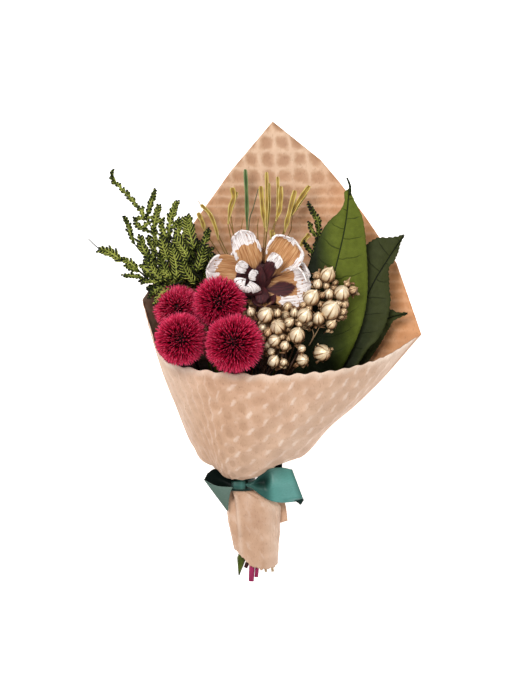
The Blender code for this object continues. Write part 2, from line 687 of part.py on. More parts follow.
def make_ribbon():
    """One satin length: a band round the neck, the knot in front and two cut tails."""
    centre = NECK_CENTRE
    band = []
    for step in range(2):
        y = centre.y - 4.7 + (step - 0.5) * RIBBON_BAND
        band.append([centre + Vector((math.sin(math.radians(angle)) * RIBBON_RADIUS, y - centre.y,
                                      -math.cos(math.radians(angle)) * RIBBON_RADIUS))
                     for angle in range(0, 360, 15)])
    solids = [thick_grid(band, RIBBON_THICKNESS, wrapped=True)]
    knot = Vector((-11.0, -95.6, 23.5))
    solids.append(tube([knot + Vector((-6.5, 0.5, -1)), knot + Vector((-3.5, 0, 0.4)), knot + Vector((1.5, 0, 0.6)),
                        knot + Vector((6, 0, -0.6))], [2.2, 3.4, 3.6, 2.2], 8, 0.8, (0, 0, 1)))
    solids.append(thick_grid([
        [(-8.0, -93.0, 25.0), (-8.0, -94.5, 26.0), (-8.0, -96.0, 25.0)],
        [(1.0, -92.2, 26.0), (1.0, -95.4, 27.5), (1.0, -100.5, 26.0)],
        [(9.8, -86.8, 25.5), (10.0, -95.0, 27.5), (9.0, -104.9, 26.0)],
        [(18.9, -84.6, 24.0), (19.5, -95.0, 26.5), (18.0, -107.2, 25.5)],
        [(26.0, -85.0, 22.0), (29.0, -95.0, 24.0), (33.5, -106.4, 22.0)],
    ], RIBBON_THICKNESS))
    solids.append(thick_grid([
        [(-12.0, -96.0, 24.5), (-12.0, -94.3, 25.5), (-12.0, -92.5, 24.5)],
        [(-21.0, -96.6, 25.5), (-21.0, -93.0, 27.0), (-21.0, -90.6, 26.0)],
        [(-31.0, -95.4, 25.0), (-30.5, -91.0, 27.0), (-28.8, -87.2, 24.5)],
        [(-35.9, -92.2, 23.0), (-35.0, -90.4, 24.0), (-33.0, -88.6, 22.5)],
    ], RIBBON_THICKNESS))
    solids.append(thick_grid([
        [(-31.5, -93.8, 25.2), (-24.0, -93.6, 26.4), (-16.5, -95.4, 25.6)],
        [(-27.5, -100.5, 24.6), (-22.5, -101.0, 25.8), (-17.6, -101.5, 25.2)],
        [(-21.5, -112.0, 23.6), (-20.4, -112.6, 24.2), (-19.3, -113.2, 23.8)],
    ], RIBBON_THICKNESS))
    return fuse("ribbon", solids, make_material("teal_satin", (0.05, 0.24, 0.19), 0.35), "MANIFOLD")


def centre_on_ground(bodies):
    """Set the origin under the middle of the bouquet's box."""
    corners = [vert.co for body in bodies for vert in body.data.vertices]
    low = Vector([min(corner[axis] for corner in corners) for axis in range(3)])
    high = Vector([max(corner[axis] for corner in corners) for axis in range(3)])
    shift = Vector((-(low.x + high.x) / 2, -(low.y + high.y) / 2, -low.z))
    for body in bodies:
        body.location = shift


BUNDLE_POINT = Vector(BUNDLE_LINE[0])


def main():
    clear_scene()
    bodies = [make_paper(), make_ribbon(), make_tie()]
    crimson = make_material("crimson_bloom", (0.55, 0.008, 0.045), 0.8)
    for name in HEADS:
        bodies.append(make_head(name, crimson))
    bodies.append(make_pinecone(make_material("cone_wood", (0.30, 0.14, 0.07), 0.7)))
    gold = make_material("gold_paint", (0.75, 0.55, 0.27), 0.35, 0.8)
    for name in SEED_PODS:
        bodies.append(make_seed_spray(name, gold))
    for name in LEAVES:
        bodies.append(make_leaf(name))
    evergreen = make_material("conifer_green", (0.06, 0.12, 0.02), 0.6)
    for name in CONIFERS:
        bodies.append(make_conifer(name, evergreen))
    for name in GRASS:
        bodies.append(make_grass(name))
    centre_on_ground(bodies)


main()
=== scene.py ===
# Wrapped pinecone bouquet: it lies on the back of its paper and is seen from straight above.
import math

import bpy
import numpy as np
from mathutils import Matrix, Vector


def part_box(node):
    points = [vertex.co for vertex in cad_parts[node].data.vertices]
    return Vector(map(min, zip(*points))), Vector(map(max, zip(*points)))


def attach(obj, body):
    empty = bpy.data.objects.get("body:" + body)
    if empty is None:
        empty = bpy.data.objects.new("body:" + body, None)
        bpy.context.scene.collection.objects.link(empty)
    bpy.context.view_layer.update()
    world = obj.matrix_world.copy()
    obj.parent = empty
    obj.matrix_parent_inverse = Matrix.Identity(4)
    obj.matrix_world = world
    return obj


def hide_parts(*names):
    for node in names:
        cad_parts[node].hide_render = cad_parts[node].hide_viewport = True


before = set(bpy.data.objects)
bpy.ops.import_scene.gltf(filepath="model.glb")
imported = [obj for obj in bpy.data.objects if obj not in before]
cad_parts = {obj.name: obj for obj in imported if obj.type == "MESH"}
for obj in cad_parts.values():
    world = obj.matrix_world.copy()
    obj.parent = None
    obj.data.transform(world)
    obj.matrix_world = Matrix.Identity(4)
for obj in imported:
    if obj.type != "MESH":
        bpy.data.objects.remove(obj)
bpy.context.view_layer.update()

# All sizes below are millimetres from the middle of the picture: x to the right, y up it, z off the table
mm = 0.001
tieMiddle = np.array((-11.0, -94.5, 11.1))  # where the band round the stems is in those millimetres
tieLow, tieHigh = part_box("stem_tie")
boxShift = np.array((tieLow + tieHigh) / 2) / mm - tieMiddle


def hexColour(code):
    # sRGB hex to the linear value a shader takes
    parts = [int(code[place:place + 2], 16) / 255 for place in (1, 3, 5)]
    return (*[part / 12.92 if part <= 0.04045 else ((part + 0.055) / 1.055) ** 2.4 for part in parts], 1.0)


def connect(tree, node, sources):
    # sources: values, outputs, or nodes whose live output is meant, by socket or in the sockets' order
    for socket, source in sources.items() if isinstance(sources, dict) else enumerate(sources):
        if isinstance(source, bpy.types.Node):
            source = next(output for output in source.outputs if output.enabled)
        if isinstance(source, bpy.types.NodeSocket):
            tree.links.new(source, node.inputs[socket])
        else:
            node.inputs[socket].default_value = source


def addNode(tree, kind, sources=(), stops=None, **settings):
    # stops, for a colour ramp: place on it to hex colour
    node = tree.nodes.new("ShaderNode" + kind)
    for key, value in settings.items():
        setattr(node, key, value)
    if stops:
        elements = node.color_ramp.elements
        while len(elements) < len(stops):
            elements.new(0.5)
        for element, (place, code) in zip(elements, sorted(stops.items())):
            element.position = place
            element.color = hexColour(code)
    connect(tree, node, sources)
    return node


def startMaterial(name, settings, *readings):
    # readings: names of the values that a piece's points carry and the material reads
    material = bpy.data.materials.new(name)
    material.use_nodes = True
    tree = material.node_tree
    shader = tree.nodes["Principled BSDF"]
    connect(tree, shader, settings)
    carried = [addNode(tree, "Attribute", attribute_name=key).outputs["Fac"] for key in readings]
    return material, tree, shader, carried


smooth = {"interpolation_type": "SMOOTHSTEP"}  # map range: value, from low and high, to low and high
tint = {"data_type": "RGBA"}  # mix: 0 how much, 6 the colour below, 7 the colour laid over it
darken = {"data_type": "RGBA", "blend_type": "MULTIPLY"}


class Shape:
    # points, faces and named values of one piece, gathered part by part
    def __init__(self):
        self.points, self.faces, self.values, self.count = [], [], [], 0

    def add(self, points, faces, **values):
        points = np.asarray(points, float).reshape(-1, 3)
        self.points.append(points)
        for group in faces if isinstance(faces, list) else [faces]:
            self.faces += (np.asarray(group) + self.count).tolist()
        self.values.append({key: np.broadcast_to(np.asarray(value, float).ravel(), len(points))
                            if np.size(value) in (1, len(points)) else np.tile(np.ravel(value), 2)
                            for key, value in values.items()})
        self.count += len(points)


def finishPiece(name, shape, material, nodes):
    mesh = bpy.data.meshes.new(name)
    points = (np.concatenate(shape.points) + boxShift) * mm
    mesh.from_pydata(points.tolist(), [], shape.faces)
    mesh.shade_smooth()
    for key in sorted({key for values in shape.values for key in values}):
        parts = [values.get(key, np.zeros(len(points))) for values, points in zip(shape.values, shape.points)]
        attribute = mesh.attributes.new(key, "FLOAT", "POINT")
        attribute.data.foreach_set("value", np.concatenate(parts).astype(np.float32))
    mesh.materials.append(material)
    piece = bpy.data.objects.new(name, mesh)
    bpy.context.scene.collection.objects.link(piece)
    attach(piece, "root")
    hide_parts(*nodes)
    print(f"{name}: {len(shape.faces)} faces")
    return piece


def camelCase(node):
    first, *rest = node.split("_")
    return first + "".join(part.capitalize() for part in rest)


def smoothLine(points, count):
    # evenly spread points on a smooth curve through the given ones
    knots = np.array(points, float)
    knots = np.concatenate([[2 * knots[0] - knots[1]], knots, [2 * knots[-1] - knots[-2]]])
    place = np.linspace(0, len(knots) - 3 - 1e-9, count)
    index = place.astype(int)
    part = (place - index).reshape(-1, *[1] * (knots.ndim - 1))
    before, start, end, after = (knots[index + step] for step in range(4))
    return 0.5 * (2 * start + (end - before) * part + (2 * before - 5 * start + 4 * end - after) * part ** 2
                  + (3 * start - before - 3 * end + after) * part ** 3)


def smoothGrid(control, rows, columns):
    lines = smoothLine(control, rows)
    return smoothLine(lines.transpose(1, 0, 2), columns).transpose(1, 0, 2)


def smoothStep(value, low, high):
    part = np.clip((value - low) / (high - low), 0, 1)
    return part * part * (3 - 2 * part)


def between(value, low, fullFrom, fullTo, high):
    return smoothStep(value, low, fullFrom) * (1 - smoothStep(value, fullTo, high))


def hump(value, middle, width):
    return np.exp(-((value - middle) / width) ** 2)


def unit(vectors):
    vectors = np.asarray(vectors, float)
    return vectors / np.linalg.norm(vectors, axis=-1, keepdims=True).clip(1e-9)


def sheetNormals(grid, wrapped=False):
    along = np.gradient(grid, axis=0)
    across = np.roll(grid, -1, 1) - np.roll(grid, 1, 1) if wrapped else np.gradient(grid, axis=1)
    return unit(np.cross(across, along))


def thickSheet(grid, thickness, wrapped=False):
    # a closed sheet round a grid of middle points: the layer on the side of its normals comes first
    rows, columns = grid.shape[:2]
    offset = sheetNormals(grid, wrapped) * np.broadcast_to(thickness, (rows, columns))[..., None] / 2
    points = np.concatenate([(grid + offset).reshape(-1, 3), (grid - offset).reshape(-1, 3)])
    index = np.arange(rows * columns).reshape(rows, columns)
    left, right = (index, np.roll(index, -1, 1)) if wrapped else (index[:, :-1], index[:, 1:])
    under = rows * columns
    upper = np.stack([left[:-1], right[:-1], right[1:], left[1:]], -1).reshape(-1, 4)
    walls = [upper, upper[:, ::-1] + under]
    for row, turned in ((0, 1), (rows - 1, -1)):
        wall = np.stack([left[row] + under, right[row] + under, right[row], left[row]], -1)
        walls.append(wall[:, ::turned])
    if not wrapped:
        for column, turned in ((0, -1), (columns - 1, 1)):
            edge = index[:, column]
            wall = np.stack([edge[:-1] + under, edge[1:] + under, edge[1:], edge[:-1]], -1)
            walls.append(wall[:, ::turned])
    return points, walls


def tube(line, radius, sides, flat=1.0, lift=(0.0, 0.0, 1.0)):
    # a rod along a line; flat squeezes it towards the lift direction
    line = np.asarray(line, float)
    radius = np.broadcast_to(radius, len(line))
    ahead = unit(np.gradient(line, axis=0))
    side = unit(np.cross(ahead, np.broadcast_to(lift, line.shape)) + 1e-6)
    up = np.cross(side, ahead)
    angle = np.linspace(0, 2 * math.pi, sides, endpoint=False)[None, :, None]
    around = np.cos(angle) * side[:, None] + flat * np.sin(angle) * up[:, None]
    ring = line[:, None] + radius[:, None, None] * around
    index = np.arange(len(line) * sides).reshape(len(line), sides)
    after = np.roll(index, -1, 1)
    quads = np.stack([index[:-1], index[1:], after[1:], after[:-1]], -1).reshape(-1, 4)
    return ring.reshape(-1, 3), [quads, index[:1], index[-1:, ::-1]]


# Kraft wrap

kraft = {
    "thickness": 0.5,
    "neck": np.array((-11.0, -90.0, 11.1)), "neckRadius": 9.0,
    "columnSpacing": 1.6, "rows": 124, "backDepth": 0.5, "frontDepth": 0.5,
    # square grid of dents, the middle of one, and the closer pitch of the rows below the two heights
    "backPitch": (11.2, 12.4), "backTighter": (6.8, 106.0, 127.0), "backDent": (20.3, 136.0),
    "backLean": 0.12,  # how its columns lean
    "frontPitch": (9.6, 12.3), "frontLine": 206.0, "frontPhase": 0.5,  # dents in staggered columns
    "scallop": 0.7, "scallopPitch": 13.0,
    # along the sheet's sides: how far, where up the sheet and how wide, where round it, and which way
    "bulges": [
        ([(1.3, 0.78, 0.14), (-0.8, 0.56, 0.07), (2.6, 0.395, 0.075)], (60, 80, 110, 135), (0.7, -0.7)),
        ([(1.2, 0.38, 0.08), (-0.9, 0.62, 0.1)], (222, 245, 300, 325), (-0.85, -0.5)),
    ],
    # angle round the neck from the back: rim point, and the point that the panel's belly leans to
    "panels": [
        (0, (12.6, 163.4, 0.6), (-3.0, -20.0, -1.5)), (22, (46.9, 135.7, 2.5), (10.0, -32.0, -2.0)),
        (33, (60.0, 119.9, 5.0), (16.5, -38.5, -1.3)), (45, (78.0, 95.5, 9.0), (24.0, -46.0, -0.5)),
        (66, (100.2, 61.4, 17.0), (36.0, -60.0, 6.0)),
        (90, (116.2, 11.0, 33.0), (44.5, -70.8, 22.0)), (115, (88.1, -6.0, 53.0), (32.0, -84.0, 42.0)),
        (145, (56.6, -14.0, 67.0), (12.0, -93.0, 54.0)), (180, (15.6, -17.5, 73.0), (-6.0, -97.0, 58.0)),
        (215, (-28.7, -15.0, 66.0), (-26.0, -95.0, 52.0)), (245, (-65.7, -8.5, 47.0), (-43.5, -80.5, 40.0)),
        (275, (-79.0, 35.2, 29.0), (-57.2, -69.2, 22.0)), (310, (-47.1, 85.1, 12.0), (-36.0, -40.0, 2.0)),
        (335, (-17.1, 128.0, 3.5), (-18.0, -25.0, -1.5)), (360, (12.6, 163.4, 0.6), (-3.0, -20.0, -1.5)),
    ],
    # y, left edge, right edge, lowest and highest point of the gathered handle
    "handle": [
        (-90.0, -20.0, -2.0, 2.1, 20.1), (-99.0, -20.0, -2.0, 2.1, 20.1), (-104.0, -20.4, 12.0, 0.6, 22.0),
        (-111.0, -20.3, 18.8, 0.6, 23.0), (-122.0, -19.8, 18.6, 0.6, 22.5), (-137.0, -16.4, 17.2, 0.6, 21.5),
        (-156.0, -11.2, 16.3, 0.6, 20.5),
    ],
    "handleColumns": 220, "handleRows": 76,
    # where the handle was torn off: x and y along its lower edge
    "tornEdge": [(-20.0, -138.0), (-14.5, -140.3), (-10.4, -142.3), (-8.4, -144.4), (-5.6, -150.3),
                 (-2.0, -153.0), (6.7, -155.3), (11.0, -154.4), (15.3, -151.8), (22.0, -150.5)],
    "outside": {0.0: "#be9677", 0.3: "#cda587", 1.0: "#f0dac8"},
    "inside": {0.0: "#b88c6a", 0.5: "#c9a07f", 1.0: "#e0bd9e"},
}


def kraftMaterial():
    # Brown kraft wrapping paper, pressed with soft round dents: matt, with short fibres that show as fine
    # specks; the dents are a little darker and the ridges between them carry painted highlights
    material, tree, shader, carried = startMaterial(
        "kraftPaper", {"Roughness": 0.62, "IOR": 1.5}, "cellAcross", "cellAlong", "merged", "rubbed", "front",
        "oval", "emboss", "inside", "warmth", "pale", "deep")
    cellAcross, cellAlong, merged, rubbed, front, oval, emboss, inside, warmth, pale, deep = carried
    place = addNode(tree, "TexCoord").outputs["Object"]
    clouds = {}  # soft patches, by their size in millimetres
    for size, detail in ((3.0, 3.0), (3.2, 3.0), (8.0, 2.0), (9.0, 2.0), (12.0, 2.0), (14.0, 3.0)):
        scale = 1 / (size * mm)
        clouds[size] = addNode(tree, "TexNoise", {"Vector": place, "Scale": scale, "Detail": detail})
    around = addNode(tree, "Math", (cellAcross, math.pi), operation="MULTIPLY")
    along = addNode(tree, "Math", (cellAlong, math.pi), operation="MULTIPLY")
    sineAround = addNode(tree, "Math", (around,), operation="SINE")
    # dents in a square grid, which lower down run together into rows
    beside = addNode(tree, "Math", (sineAround,), operation="ABSOLUTE")
    beside = addNode(tree, "Mix", {"Factor": merged, "A": beside, "B": 1.0})
    above = addNode(tree, "Math", (along,), operation="SINE")
    above = addNode(tree, "Math", (above,), operation="ABSOLUTE")
    square = addNode(tree, "Math", (beside, above), operation="MULTIPLY")
    flatter = addNode(tree, "Math", (merged, -0.4, 1.0), operation="MULTIPLY_ADD")
    square = addNode(tree, "Math", (square, flatter), operation="MULTIPLY")
    square = addNode(tree, "Math", (clouds[3.2], 0.9, square), operation="MULTIPLY_ADD")
    ridge = addNode(tree, "MapRange", (square, 0.39, 1.43, 1.0, 0.0), **smooth)
    # in front the dents are staggered; "away" is how many millimetres a place is from the ridge of a column
    column, row = kraft["frontPitch"]
    apart = 2 * math.hypot(column, row / 2)
    besideRow = addNode(tree, "Math", (cellAlong, 0.5), operation="PINGPONG")
    besideRow = addNode(tree, "Math", (0.25, besideRow), operation="SUBTRACT")
    besideColumn = addNode(tree, "Math", (cellAcross, 1.0), operation="PINGPONG")
    besideColumn = addNode(tree, "Math", (besideColumn, -2.0, 1.0), operation="MULTIPLY_ADD")
    # the mask of the left part, where painted highlights cover whole ridges and the lines run straighter and
    # narrower
    bent = addNode(tree, "Math", (rubbed, -0.35, 1.0), operation="MULTIPLY_ADD")
    bent = addNode(tree, "Math", (besideRow, bent), operation="MULTIPLY")
    bent = addNode(tree, "Math", (bent, row ** 2 / apart), operation="MULTIPLY")
    away = addNode(tree, "Math", (besideColumn, column ** 2 / apart, bent), operation="MULTIPLY_ADD")
    away = addNode(tree, "Math", (clouds[3.0], 3.0, away), operation="MULTIPLY_ADD")
    away = addNode(tree, "Math", (away, 1.5), operation="SUBTRACT")
    away = addNode(tree, "Math", (away,), operation="ABSOLUTE")
    narrower = addNode(tree, "Math", (rubbed, 0.9, 1.0), operation="MULTIPLY_ADD")
    away = addNode(tree, "Math", (away, narrower), operation="MULTIPLY")
    net = addNode(tree, "MapRange", (away, 0.3, 1.9, 0.44, 0.0), **smooth)
    # at the left the whole of such a ridge catches the light, elsewhere only where it rises to the right
    double = addNode(tree, "Math", (along, 2.0), operation="MULTIPLY")
    sineDouble = addNode(tree, "Math", (double,), operation="SINE")
    rising = addNode(tree, "Math", (sineAround, sineDouble), operation="MULTIPLY")
    rising = addNode(tree, "MapRange", (rising, -0.25, 0.65), **smooth)
    rising = addNode(tree, "MapRange", (clouds[9.0], 0.2, 0.62, 0.0, rising), **smooth)
    kept = addNode(tree, "MapRange", (clouds[12.0], 0.25, 0.65, 0.0, 0.62), **smooth)
    caught = addNode(tree, "Mix", {"Factor": rubbed, "A": rising, "B": kept})
    cosineAround = addNode(tree, "Math", (around,), operation="COSINE")
    cosineDouble = addNode(tree, "Math", (double,), operation="COSINE")
    staggered = addNode(tree, "Math", (cosineAround, cosineDouble), operation="MULTIPLY")
    twice = addNode(tree, "Math", (around, 2.0), operation="MULTIPLY")
    twice = addNode(tree, "Math", (twice,), operation="COSINE")
    staggered = addNode(tree, "Math", (staggered, 2.0, twice), operation="MULTIPLY_ADD")
    deepest = addNode(tree, "Math", (0.28, oval), operation="SUBTRACT")
    sunk = addNode(tree, "MapRange", (staggered, 0.0, 2.2, 0.28, deepest), **smooth)
    shown = addNode(tree, "Math", (net, caught, sunk), operation="MULTIPLY_ADD")
    ridge = addNode(tree, "Mix", {"Factor": front, "A": ridge, "B": shown})
    level = addNode(tree, "Mix", {"Factor": emboss, "A": 0.3, "B": ridge})
    uneven = addNode(tree, "MapRange", (clouds[8.0], 0.3, 0.7, -0.1, 0.1), **smooth)
    level = addNode(tree, "Math", (level, uneven), operation="ADD")
    # fibres are 0.03 mm wide; drawn coarser, so that they show
    grain = addNode(tree, "Mapping", {"Vector": place, "Scale": (1.0, 0.35, 1.0)})
    fibre = addNode(tree, "TexNoise", {"Vector": grain, "Scale": 1 / (0.8 * mm), "Detail": 5.0})
    colour = addNode(tree, "ValToRGB", (level,), kraft["outside"])
    layers = [
        (inside, addNode(tree, "ValToRGB", (level,), kraft["inside"]), tint),
        # painted warm shade inside the pouch
        (warmth, hexColour("#df9350"), tint),
        # painted light on the outside: paler where light falls, and along edges and ridges
        (pale, hexColour("#fbe8d6"), tint),
        (0.7, addNode(tree, "ValToRGB", (clouds[14.0],), {0.3: "#e9e2de", 0.7: "#ffffff"}), darken),
        (0.5, addNode(tree, "ValToRGB", (fibre,), {0.30: "#cdbfb5", 0.42: "#ffffff"}), darken),
        (deep, hexColour("#1c120d"), tint),  # hardly any light comes down to the stems inside the pouch
    ]
    for share, laid, blend in layers:
        colour = addNode(tree, "Mix", {0: share, 6: colour, 7: laid}, **blend)
    height = addNode(tree, "Math", (ridge, emboss), operation="MULTIPLY")
    height = addNode(tree, "Math", (fibre, 0.35, height), operation="MULTIPLY_ADD")
    bump = addNode(tree, "Bump", {"Height": height, "Distance": 0.35 * mm})
    connect(tree, shader, {"Base Color": colour, "Normal": bump})
    return material


def squareDents(across, along):
    # 0 in the middle of a dent, 1 on the ridge between two
    return 1 - smoothStep(np.abs(np.sin(across * math.pi) * np.sin(along * math.pi)), 0.05, 0.9)


def staggeredDents(across, along):
    wave = np.cos(2 * math.pi * across) + 2 * np.cos(math.pi * across) * np.cos(2 * math.pi * along)
    return 1 - smoothStep(wave, -1.45, 0.9)


def waves(values, seed, lengths, size):
    # a slow irregular wave made of a few sines
    draw = np.random.default_rng(seed)
    total = np.zeros_like(values)
    for length in lengths:
        total += np.sin(values * 2 * math.pi / length + draw.uniform(0, 6.28)) * draw.uniform(0.6, 1.0)
    return total * size / len(lengths)


def pouchGrid():
    angles, rims, bellies = [], [], []
    for (low, rimA, bellyA), (high, rimB, bellyB) in zip(kraft["panels"], kraft["panels"][1:]):
        rimA, rimB, bellyA, bellyB = (np.array(point) for point in (rimA, rimB, bellyA, bellyB))
        steps = max(4, round(float(np.linalg.norm(rimB - rimA)) / kraft["columnSpacing"]))
        for part in np.arange(steps) / steps:
            angles.append(low + (high - low) * part)
            rims.append(rimA + (rimB - rimA) * part)
            bellies.append(bellyA + (bellyB - bellyA) * part)
    angles, rims, bellies = np.array(angles), np.array(rims), np.array(bellies)
    # the bellies run smoothly all round, the rim only along the front lip
    window = np.hanning(31)[:, None] / np.hanning(31).sum()
    lip = smoothStep(angles, 92, 112) * (1 - smoothStep(angles, 258, 274))
    for values, share in ((bellies, np.ones(len(angles))), (rims, lip)):
        around = np.concatenate([values[-15:], values, values[:15]])
        smoothed = np.stack([np.convolve(around[:, axis], window[:, 0], "valid") for axis in range(3)], -1)
        values += (smoothed - values) * share[:, None]
    turn = np.radians(angles)
    neck = kraft["neck"] + np.stack([np.sin(turn), 0 * turn, -np.cos(turn)], -1) * kraft["neckRadius"]
    along = (np.arange(kraft["rows"] + 1) / kraft["rows"])[:, None, None] ** 1.15
    grid = neck * (1 - along) ** 2 + bellies * 2 * along * (1 - along) + rims * along ** 2
    return angles, lip, along[:, :, 0], grid


def makePouch(material):
    angles, lip, along, grid = pouchGrid()
    rows, columns = grid.shape[:2]
    steps = np.linalg.norm(np.diff(grid, axis=0), axis=2)
    distance = np.concatenate([np.zeros((1, columns)), np.cumsum(steps, axis=0)]) + 13.0
    rimSteps = np.linalg.norm(np.roll(grid[-1], -1, 0) - grid[-1], axis=1) / distance[-1]
    fan = np.cumsum(rimSteps)
    fan -= np.interp(kraft["frontLine"], angles, fan)
    # the front lip is cut a little wavy
    edge = smoothStep(along, 0.86, 1.0) * lip
    direction = unit(np.gradient(grid, axis=0))
    scallops = np.sin(fan * distance[-1] * 2 * math.pi / kraft["scallopPitch"])
    grid += direction * (scallops * edge * kraft["scallop"])[..., None]
    backX, backY = kraft["backDent"]
    lean = kraft["backLean"]
    backAcross = (grid[..., 0] + lean * grid[..., 1] - backX - lean * backY) / kraft["backPitch"][0] + 0.5
    heights = np.linspace(-120, 180, 601)
    close, low, high = kraft["backTighter"]
    rowNumber = np.cumsum(0.5 / (close + (kraft["backPitch"][1] - close) * smoothStep(heights, low, high)))
    backAlong = np.interp(grid[..., 1], heights, rowNumber - np.interp(backY, heights, rowNumber)) + 0.5
    sideways, upwards = distance * np.sin(fan), distance * np.cos(fan)
    # towards the left edge the columns of dents are squeezed together and run slanting down to the neck
    frontAcross = (sideways + (140.0 * fan - sideways) * smoothStep(fan, -0.05, 0.3)
                   - 0.36 * (upwards - 75.0) * smoothStep(fan, -0.25, 0.4)) / kraft["frontPitch"][0]
    frontAlong = upwards / kraft["frontPitch"][1] + kraft["frontPhase"]
    front = np.tile((angles > 94) & (angles < 264), (rows, 1))
    driftAcross = waves(grid[..., 1] * 1.3 + grid[..., 0], 31, (43, 67), 0.10)
    driftAlong = waves(grid[..., 0] * 1.2 - grid[..., 1], 32, (37, 59), 0.10)
    across = np.where(front, frontAcross, backAcross) + driftAcross
    upAlong = np.where(front, frontAlong, backAlong) + driftAlong
    # no dents show where the sheet folds over at its two sides, nor where it is gathered at the neck
    gap = np.minimum(np.abs(angles - 94), np.abs(angles - 264))
    emboss = smoothStep(gap, 2, 14) * smoothStep(along, 0.02, 0.14)
    dents = np.where(front, staggeredDents(across, upAlong) * kraft["frontDepth"],
                     squareDents(across, upAlong) * kraft["backDepth"])
    normals = sheetNormals(grid, True)  # these point into the pouch
    facing = np.where(front, -1.0, 1.0)
    slow = waves(np.degrees(fan)[None, :] + along * 20, 5, (17, 29, 41), 1.4) * smoothStep(along, 0, 0.3)
    slow = slow * (1 - 0.6 * smoothStep(along, 0.8, 1.0)) * np.where(front, 1.0, 0.35)
    gathers = waves(np.tile(angles, (rows, 1)), 3, (24, 36, 15), 1.3) * np.exp(-along * 16)
    grid = grid + normals * (dents * emboss * facing + slow + gathers)[..., None]
    # the gathered sheet is drawn up near the neck, and bulges a little along its sides
    atRight = smoothStep(grid[..., 0], 2, 14) * smoothStep(angles, 60, 90)
    grid[..., 1] += 4.8 * hump(along, 0.245, 0.065) * atRight
    atLeft = smoothStep(-grid[..., 0], 20, 30) * smoothStep(angles, 210, 240)
    grid[..., 1] += 3.2 * hump(along, 0.2, 0.08) * atLeft
    for humps, stretch, way in kraft["bulges"]:
        bulge = sum(size * hump(along, place, width) for size, place, width in humps)
        grid[..., :2] += (bulge * between(angles, *stretch))[..., None] * way
    grid[..., 2] = np.maximum(grid[..., 2], 0.25)
    points, faces = thickSheet(grid, kraft["thickness"], wrapped=True)
    points[:, 2] = np.maximum(points[:, 2], 0.0)
    count = rows * columns
    inside = np.concatenate([np.ones(count), np.zeros(count)])
    x, y = grid[..., 0], grid[..., 1]
    # painted warm shade: the inside turns orange towards the right, where the sheet curves up into the fold,
    # and lower down the picture
    warmth = smoothStep(x, 30, 80) * 0.3 + 0.3 * (1 - smoothStep(y, 85, 140))
    # no light comes down between the stems, nor behind the heads and the sprays at the left
    back = np.maximum((1 - smoothStep(y, -15, 25)) * (1 - smoothStep(x, 56, 76)),
                      0.85 * (1 - smoothStep(x, -66, -46)) * (1 - smoothStep(y, 50, 78)))
    shade = np.where(front, 1 - 0.3 * smoothStep(along, 0.93, 1.0), back)
    # painted highlight: at the left, the whole ridges between the front's dents are lit
    rubbed = 1 - smoothStep(x, -42, -14)
    # painted light on the outside of the front: paler at its left, towards its right and lower right, and in
    # a highlight along the lip's edge
    rim = np.where(front, smoothStep(along, 0.96, 1.0) * 0.5, 0.0)
    pale = front * (smoothStep(x + 0.5 * y, 66, 104) * 0.3 + 0.36 * (1 - smoothStep(x, -66, -26))
                    + 0.14 * smoothStep(x - y, 30, 95) + rim)
    # two columns of dents in the middle of the front are the darkest
    oval = 0.12 + 0.2 * hump(x - 0.04 * (y + 50.0), -13.0, 9.0) * (1 - smoothStep(y, -45, -25))
    shape = Shape()
    merged = np.where(front, 0.0, 0.62 * smoothStep(132 - y, 0, 22))
    shape.add(points, faces, cellAcross=across, cellAlong=upAlong, emboss=emboss, inside=inside,
              merged=merged, warmth=np.tile(warmth.ravel(), 2) * inside, oval=oval, front=front * 1.0,
              deep=np.tile(shade.ravel(), 2) * inside, rubbed=rubbed,
              pale=np.tile(pale.ravel(), 2) * (1 - inside))
    return finishPiece("kraftPouch", shape, material, ["paper_wrap"])


